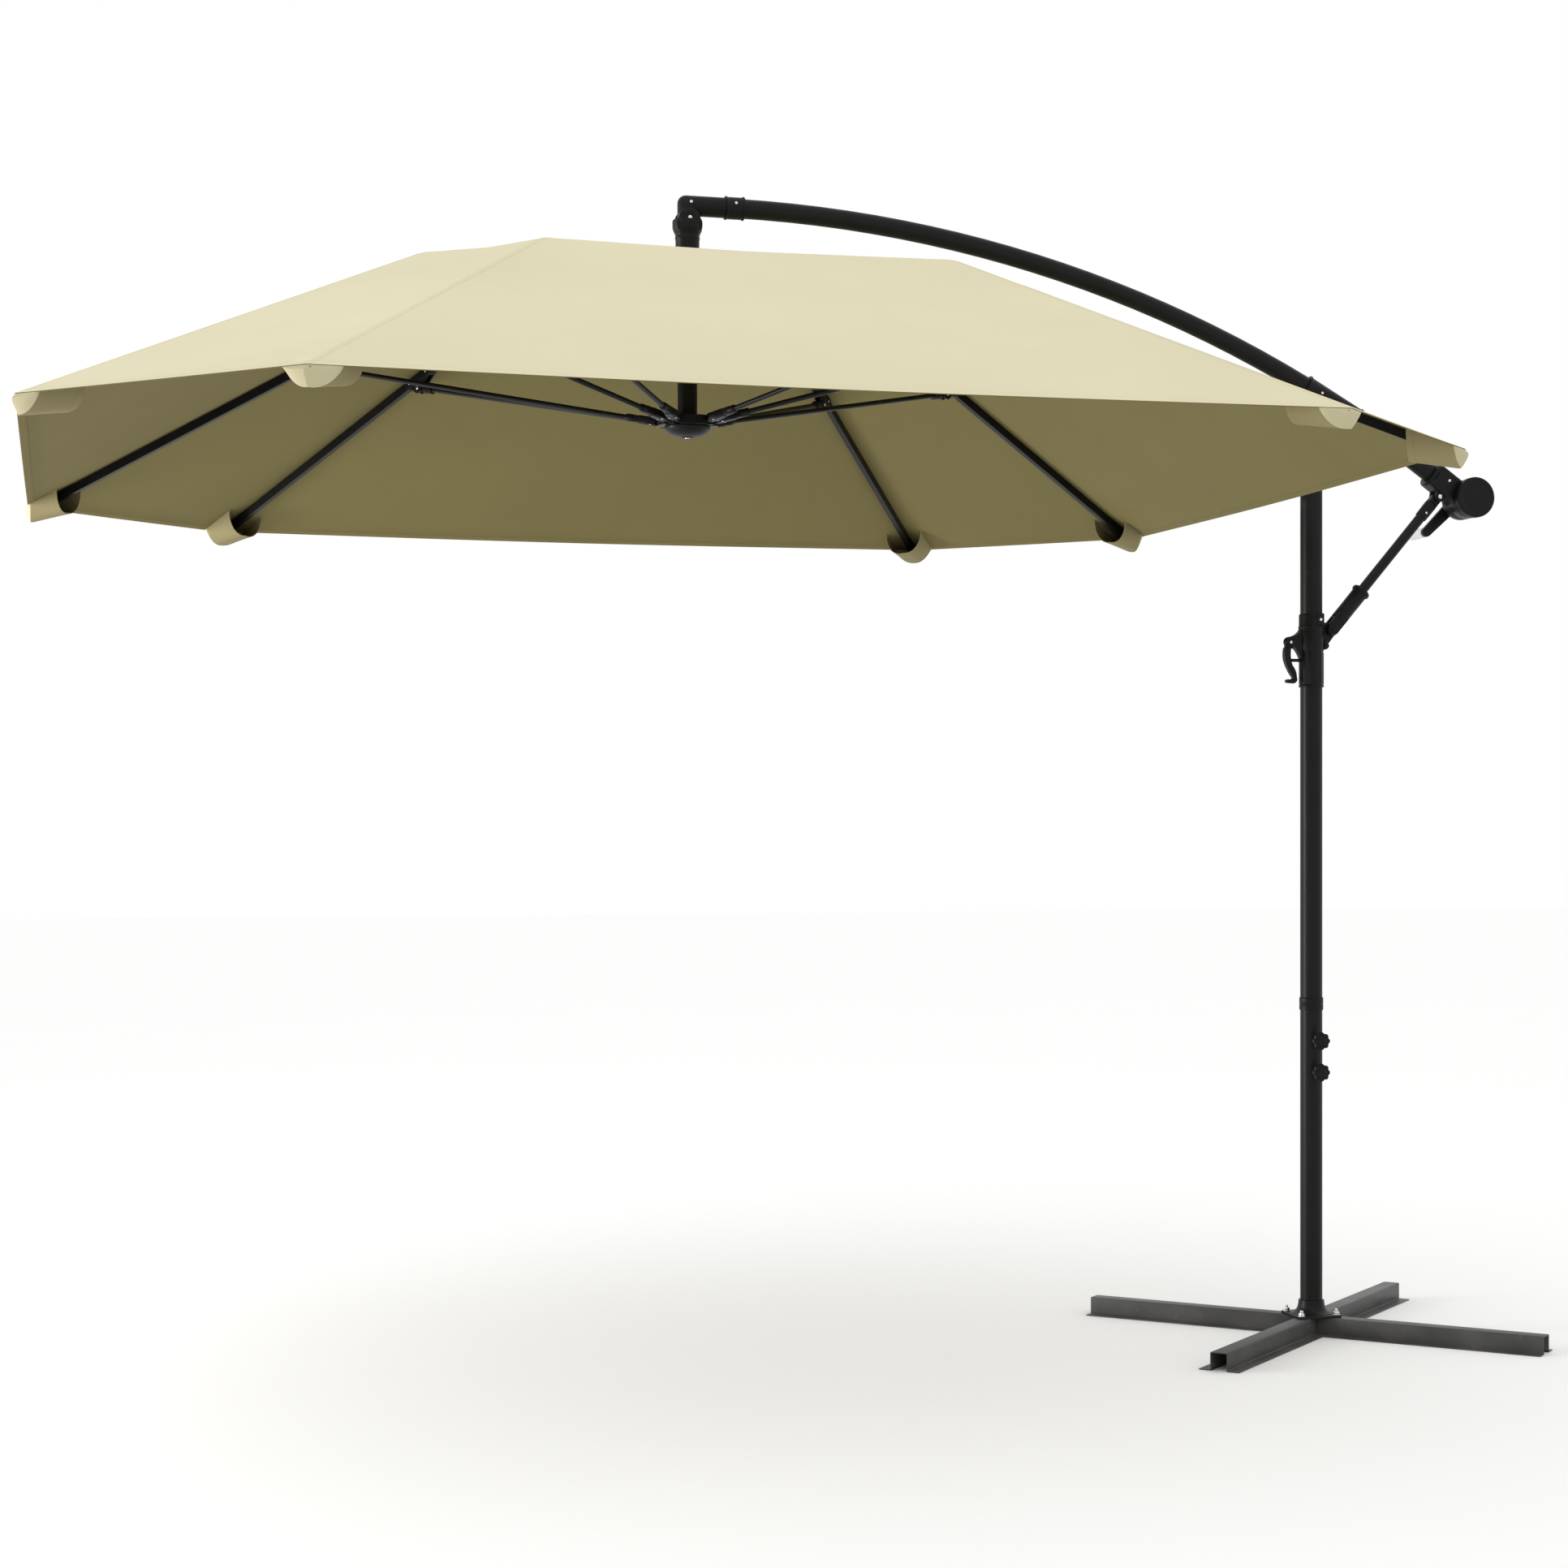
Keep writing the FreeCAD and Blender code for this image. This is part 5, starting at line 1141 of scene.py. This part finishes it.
class PARASOL_OT_winch(bpy.types.Operator):
    """Moulds the winch's drum, neck and cap, and its crank and grip"""

    bl_idname = "parasol.winch"
    bl_label = "Winch"

    def execute(self, context):
        edge = context.scene.parasol_frame.edge
        centre, crank_length = WINCH_CENTRE, 100
        drum = turned("winch_drum", [
            (39, -28), (42.4, -28), (43, -27), (43, 8), (42.3, 9), (42.3, 11), (43, 12), (43, 36),
            (41.8, 40), (38, 42), (24, 42), (22.5, 42.8), (17, 42.8), (16, 42),
            (0, 42)], centre, Y_AXIS, 96)
        slope = math.radians(35.07)
        neck_axis = Vector((math.cos(slope), 0, -math.sin(slope)))
        neck_start = boom_place(290)
        turn = Quaternion(Y_AXIS, math.pi / 2 + slope)
        section = rounded([(-27, -25), (27, -25), (27, 25), (-27, 25)], 10, 6)
        stand_up = turn @ Quaternion(X_AXIS, math.pi / 2)
        neck_middle = neck_start + neck_axis * 33
        neck = softened(plate("winch_neck", section, 74, neck_middle, stand_up), edge * 1.6, 3)
        collar = turned("winch_neck_flange", [
            (20.3, -9), (29.4, -9), (30.6, -8), (30.6, -2.6), (29.6, -1.6), (28, -1), (26, 2), (20.3, 2),
            (20.3, -9)], neck_start, neck_axis, 64)
        lug = drawn((294, 1858), (289, 1825), ((302, 1816.5), (311, 1824)), (334, 1838))
        lugs = [
            softened(plate("winch_lug", lug, 7.6, (0, 14.4 * side, 0)), edge * 1.6, 3) for side in (-1, 1)]
        parts = [drum, neck, collar, *lugs]
        for part in parts:
            coloured(part, "black_plastic")
        spot = neck_start + neck_axis * 32 + Vector((3, 0, 6))
        parts += [dome("neck_rivet", 3.4, 1.9, spot + way * 24.9, way) for way in (-Y_AXIS, Y_AXIS)]
        finished(joined("winch_moulding", parts), "boom", "black_plastic", ["winch_housing"])
        cap = turned("winch_cover", [
            (40, 28.2), (44, 28.2), (44.5, 28.8), (44.5, 41.2), (44, 43.2), (42.8, 44.8), (41, 45.7),
            (39, 46), (37.6, 45.7), (36.8, 45.1), (30, 44.9), (0, 44.8)], centre, -Y_AXIS, 96)
        finished(cap, "boom", "black_plastic", ["winch_cap"])

        crank_angle = math.radians(224)
        crank_end = centre + Vector((math.cos(crank_angle), 0, math.sin(crank_angle))) * crank_length
        outline = arc((0, 0), 15, 90, 270, 12) + arc((crank_length, 0), 10.5, -90, 90, 10)
        lean = Quaternion(Y_AXIS, -crank_angle)
        arm = softened(plate("crank_bar", outline, 12, centre + Y_AXIS * 56, lean), edge * 2, 3)
        boss = [(13, 43.5), (13, 51), (13, 61.8), (11.6, 63.2), (0, 63.4)]
        hub = turned("crank_boss", boss, centre, Y_AXIS, 40)
        pin = turned("crank_pin", [(3.9, 60), (3.9, 144)], crank_end, Y_AXIS, 24)
        for part in (arm, hub):
            coloured(part, "black_plastic")
        screw = dome("crank_screw", 4, 2, centre + Y_AXIS * 63.2, Y_AXIS)
        parts = [arm, hub, coloured(pin, "bright_steel"), screw]
        finished(joined("crank_handle", parts), "crank", "black_plastic", ["crank_arm"])
        grip = turned("grip_barrel", [
            (4.2, 0), (8, 0), (9.6, 0.5), (10.4, 1.6), (10.9, 5), (11.3, 20), (11.5, 44), (11.2, 66),
            (10.6, 76), (9.8, 80), (9, 80.5), (9, 81.5), (9.6, 82.2), (9.2, 85.4), (7.6, 87.4), (5, 88),
            (0, 88)],
            crank_end + Y_AXIS * 62.4, Y_AXIS, 48)
        finished(grip, "grip", "grey_grip", ["crank_grip"])
        return {"FINISHED"}


# ---------------------------------------------------------------- canopy head, ribs and runner


class PARASOL_OT_canopy_head(bpy.types.Operator):
    """Moulds the knuckle under the elbow and the cap over the canopy's middle"""

    bl_idname = "parasol.canopy_head"
    bl_label = "Canopy head"

    def execute(self, context):
        edge = context.scene.parasol_frame.edge
        centre = Vector((CANOPY_X, 0, KNUCKLE_Z))
        sleeve = turned("head_sleeve", [
            (20.7, 2244), (24.5, 2244), (24.5, 2302), (25.4, 2304), (25.4, 2309), (24.7, 2311),
            (26, 2315), (29, 2321), (30.6, 2328), (31, 2338), (30.4, 2343), (29, 2343.4), (22, 2324),
            (9.2, 2320), (9.2, 2304), (20.7, 2303), (20.7, 2244)], (CANOPY_X, 0, 0), segments=64)
        cheek = [(0, 13.5), (22, 13.5), (22.4, 14.2), (22.4, 24), (21.6, 25.3), (19.4, 25.8), (19, 27.2),
                 (18, 28), (9, 28.3), (8, 27.6), (0, 27.6)]
        flank = drawn((-24, 2322), ((-27, 2330), (-22.4, 2347)), ((0, 2367.4), (22.4, 2347)),
                      ((27, 2330), (24, 2322)))
        parts = [sleeve]
        for side in (-1, 1):
            parts.append(turned("knuckle_cheek", cheek, centre, Y_AXIS * side, 56))
            side_plate = plate("knuckle_flank", flank, 9, (CANOPY_X, 18.2 * side, 0))
            parts.append(softened(side_plate, edge * 1.6, 3))
        for part in parts:
            coloured(part, "black_plastic")
        finished(joined("head_knuckle_moulding", parts), "head", "black_plastic", ["head_knuckle"])
        screws = []
        for way in (-Y_AXIS, Y_AXIS):
            screws.append(dome("knuckle_screw", 4.4, 2.2, centre + way * 27.7, way))
            shank = turned("knuckle_shank", [(4.9, 8), (4.9, 27)], centre, way)
            screws.append(coloured(shank, "bright_steel"))
        finished(joined("knuckle_screw_pair", screws), "head", "bright_steel", ["knuckle_bolts"])
        cap = turned("crown_cover", [
            (24.6, 2249.9), (45, 2249.9), (46, 2250.5), (46, 2251.4), (44, 2252.6), (38, 2253.8),
            (31, 2254.6), (28.4, 2255.8), (27.4, 2258), (26.6, 2259), (24.6, 2259),
            (24.6, 2249.9)], (CANOPY_X, 0, 0), segments=64)
        finished(cap, "head", "black_plastic", ["crown_cap"])
        return {"FINISHED"}


class PARASOL_OT_runner(bpy.types.Operator):
    """Turns the bowl under the runner and moulds the eight forked strut roots"""

    bl_idname = "parasol.runner"
    bl_label = "Runner"

    def execute(self, context):
        edge = context.scene.parasol_frame.edge
        bowl = coloured(turned("runner_bowl", [
            (20.2, 1943), (28, 1943), (29.4, 1942), (30, 1940), (30, 1938), (34, 1937), (34, 1921),
            (45.4, 1920.8), (46.4, 1919.8), (46.2, 1917), (44, 1912.4), (39, 1907.4), (32, 1903.2),
            (24, 1900.2), (16, 1898.8), (13.4, 1898.4), (12.6, 1897.4),
            (0, 1897.2)], (CANOPY_X, 0, 0), segments=64), "black_plastic")
        screw = dome("runner_screw", 5, 2.4, (CANOPY_X, 0, 1897.4), -Z_AXIS)
        finished(joined("runner_bowl_moulding", [bowl, screw]), "runner", "black_plastic")
        start = Vector((HUB_PIVOT_RADIUS, 0, RUNNER_PIVOT_Z))
        along = (STRUT_PIVOT - start).normalized()
        lift = Vector((-along.z, 0, along.x))
        turn = tilt_to(along)
        lie_flat = turn @ Quaternion(X_AXIS, math.pi / 2)
        plan = drawn((16, -11), (24, -13), (40, -11.5), ((52, -9), (60, -7.4)), (76, -7), (76, 7), (60, 7.4),
                     ((52, 9), (40, 11.5)), (24, 13), (16, 11))
        root = softened(plate("strut_root", plan, 15, start, lie_flat), edge * 2, 3)
        coloured(root, "black_plastic")
        tip = coloured(turned("strut_root_tip", [
            (5.6, 70), (8, 70), (8.4, 72), (8.2, 84), (7.4, 86.4), (6.2, 87), (5.6, 86)], start, along, 32),
            "black_plastic")
        rivets = []
        for distance, side in ((29, -6.5), (29, 6.5)):
            place = start + along * distance + Y_AXIS * side
            rivets += [dome("root_rivet", 2.4, 1.3, place + up * 7.4, up, 14) for up in (-lift, lift)]
        eye = softened(turned("strut_eye", [(8.4, -3.9), (8.4, 3.9)], STRUT_PIVOT, Y_AXIS, 28), edge * 0.8)
        coloured(eye, "black_plastic")
        neck = coloured(turned("strut_eye_neck", [
            (3.5, -4), (4.6, -13), (8.6, -16.4), (9.6, -18.6), (9.8, -22), (9.2, -40), (9.9, -41),
            (9.9, -44), (8.8, -45.4), (5.6, -45.6)], STRUT_PIVOT, along, 28),
            "black_plastic")
        model = joined("runner_strut_end", [root, tip, *rivets, eye, neck])
        for number, heading in enumerate(HEADINGS, start=1):
            copy = moved_copy(model, f"runner_strut_ends_{number}", spoke_frame(heading))
            finished(copy, f"strut_body_{number}", "black_plastic")
        discard(model)
        return {"FINISHED"}


class PARASOL_OT_rib_fittings(bpy.types.Operator):
    """Moulds each rib's strut bracket, its root and its tip plug"""

    bl_idname = "parasol.rib_fittings"
    bl_label = "Rib fittings"

    def execute(self, context):
        edge = context.scene.parasol_frame.edge
        bend, tip = Vector((700, 0, 2161)), Vector((1557, 0, 1803.2))
        outward = (tip - bend).normalized()
        seat = bend + outward * ((STRUT_PIVOT.x - bend.x) / outward.x)
        turn = tilt_to(outward)
        pivot = turn.inverted() @ (STRUT_PIVOT - seat)
        lobe = 13
        shell = drawn((-46, -9), (-40, -10.8), (pivot.x - lobe - 2, -11), (pivot.x - lobe, -13),
                      (pivot.x - lobe, pivot.z), ((pivot.x, pivot.z - lobe), (pivot.x + lobe, pivot.z)),
                      (pivot.x + lobe, -13), (pivot.x + lobe + 2, -11), (40, -10.8), (46, -9), (46, 7),
                      (42, 8.6), (-42, 8.6), (-46, 7))
        parts = [
            softened(plate("bracket_side", shell, 3.6, seat + Y_AXIS * 7.6 * side, turn), edge * 1.2, 3)
            for side in (-1, 1)]
        band = rounded([(-9.3, -10.6), (9.3, -10.6), (9.3, 9.4), (-9.3, 9.4)], 2.2)
        stand = turn @ Quaternion(Z_AXIS, math.pi / 2)
        for place in (-38, 38):
            parts.append(softened(plate("bracket_band", band, 12, seat + outward * place, stand), edge))
        inner_run = bend - Vector((HUB_PIVOT_RADIUS, 0, CROWN_PIVOT_Z))
        root_turn = tilt_to(inner_run) @ Quaternion(Z_AXIS, math.pi / 2)
        root_plug = rounded([(-7.2, -10), (7.2, -10), (7.2, 10), (-7.2, 10)], 2)
        parts.append(softened(plate("rib_root_plug", root_plug, 26, (84, 0, 2231.2), root_turn), edge))
        plug = rounded([(-8.2, -9.6), (8.2, -9.6), (8.2, 9.6), (-8.2, 9.6)], 2.6)
        parts.append(softened(plate("tip_plug", plug, 34, tip - outward * 14, stand), edge * 1.6, 3))
        for part in parts:
            coloured(part, "black_plastic")
        for side in (-1, 1):
            parts.append(dome("bracket_pin", 4.4, 1.8, STRUT_PIVOT + Y_AXIS * 9.2 * side, Y_AXIS * side))
            for place in (-30, 30):
                spot = seat + outward * place + Y_AXIS * 9.2 * side
                parts.append(dome("bracket_rivet", 2.4, 1.2, spot, Y_AXIS * side, 14))
        model = joined("rib_fitting", parts)
        for number, heading in enumerate(HEADINGS, start=1):
            copy = moved_copy(model, f"rib_fittings_{number}", spoke_frame(heading))
            finished(copy, f"rib_body_{number}", "black_plastic")
        discard(model)
        return {"FINISHED"}


class PARASOL_OT_stage(bpy.types.Operator):
    """Puts up the floor, the lamps and the camera"""

    bl_idname = "parasol.stage"
    bl_label = "Stage"

    def execute(self, context):
        sizes = context.scene.parasol_stage
        clear_selection()
        bpy.ops.mesh.primitive_plane_add(size=60, location=(0, 0, -0.0005))
        floor = bpy.context.active_object
        floor.name = "floor"
        finish = Finish("floor_paint", {"Specular IOR Level": 0.2})
        marks = finish.noise(1.3, 5.0)
        finish.paint("Base Color", finish.mix(marks, scaled(sizes.floor, 0.99), sizes.floor))
        finish.paint("Roughness", 0.8 + marks * 0.1)
        floor.data.materials.append(finish.material)
        world = bpy.data.worlds.new("studio")
        world.use_nodes = True
        world.node_tree.nodes["Background"].inputs["Color"].default_value = (1, 1, 1, 1)
        world.node_tree.nodes["Background"].inputs["Strength"].default_value = sizes.sky
        context.scene.world = world
        lamps = (
            ("overhead_lamp", (-2.2, -3.2, 6.2), sizes.key, (4.5, 4.5)),
            ("strip_lamp", (-6.0, 0.9, 1.0), sizes.side, (1.1, 2.4)),
        )
        aimed_at = Vector((-0.8, 0, 1.3))
        for name, place, power, (width, height) in lamps:
            bpy.ops.object.light_add(type="AREA", location=place)
            lamp = bpy.context.active_object
            lamp.name = name
            lamp.data.energy = power
            lamp.data.shape = "RECTANGLE"
            lamp.data.size = width
            lamp.data.size_y = height
            lamp.rotation_mode = "QUATERNION"
            lamp.rotation_quaternion = (aimed_at - Vector(place)).to_track_quat("-Z", "Y")
        level_view = (math.pi / 2, 0, math.radians(-15.612))
        bpy.ops.object.camera_add(location=(-2.616, -5.824, 1.1014), rotation=level_view)
        camera = bpy.context.active_object
        camera.data.lens = sizes.lens
        camera.data.sensor_width = 36
        camera.data.shift_x = -0.0575
        camera.data.shift_y = 0.0272
        camera.data.dof.use_dof = False
        context.scene.camera = camera
        context.scene.view_settings.view_transform = "Standard"
        return {"FINISHED"}


class PARASOL_PT_pieces(bpy.types.Panel):
    """Lists the pieces and the stage in the order they are made"""

    bl_label = "Parasol"
    bl_space_type = "VIEW_3D"
    bl_region_type = "UI"
    bl_category = "Parasol"

    def draw(self, context):
        for operator in OPERATORS:
            self.layout.operator(operator.bl_idname)
        for group in (context.scene.parasol_canopy, context.scene.parasol_frame, context.scene.parasol_stage):
            for name in group.bl_rna.properties.keys():
                if name not in ("rna_type", "name"):
                    self.layout.prop(group, name)


SIZES = {
    "parasol_canopy": ParasolCanopySizes,
    "parasol_frame": ParasolFrameSizes,
    "parasol_stage": ParasolStageSizes,
}
OPERATORS = (
    PARASOL_OT_finishes,
    PARASOL_OT_cross_base,
    PARASOL_OT_mast_fittings,
    PARASOL_OT_slide_collar,
    PARASOL_OT_latch_lever,
    PARASOL_OT_strut_ends,
    PARASOL_OT_boom_fittings,
    PARASOL_OT_winch,
    PARASOL_OT_canopy_head,
    PARASOL_OT_runner,
    PARASOL_OT_rib_fittings,
    PARASOL_OT_canopy,
    PARASOL_OT_stage,
)


def register():
    for group in SIZES.values():
        bpy.utils.register_class(group)
    for name, group in SIZES.items():
        setattr(bpy.types.Scene, name, bpy.props.PointerProperty(type=group))
    for operator in OPERATORS:
        bpy.utils.register_class(operator)
    bpy.utils.register_class(PARASOL_PT_pieces)


def unregister():
    bpy.utils.unregister_class(PARASOL_PT_pieces)
    for operator in reversed(OPERATORS):
        bpy.utils.unregister_class(operator)
    for name, group in SIZES.items():
        delattr(bpy.types.Scene, name)
        bpy.utils.unregister_class(group)


def main():
    register()
    for operator in OPERATORS:
        group, name = operator.bl_idname.split(".")
        getattr(getattr(bpy.ops, group), name)()


if __name__ == "__main__":
    main()
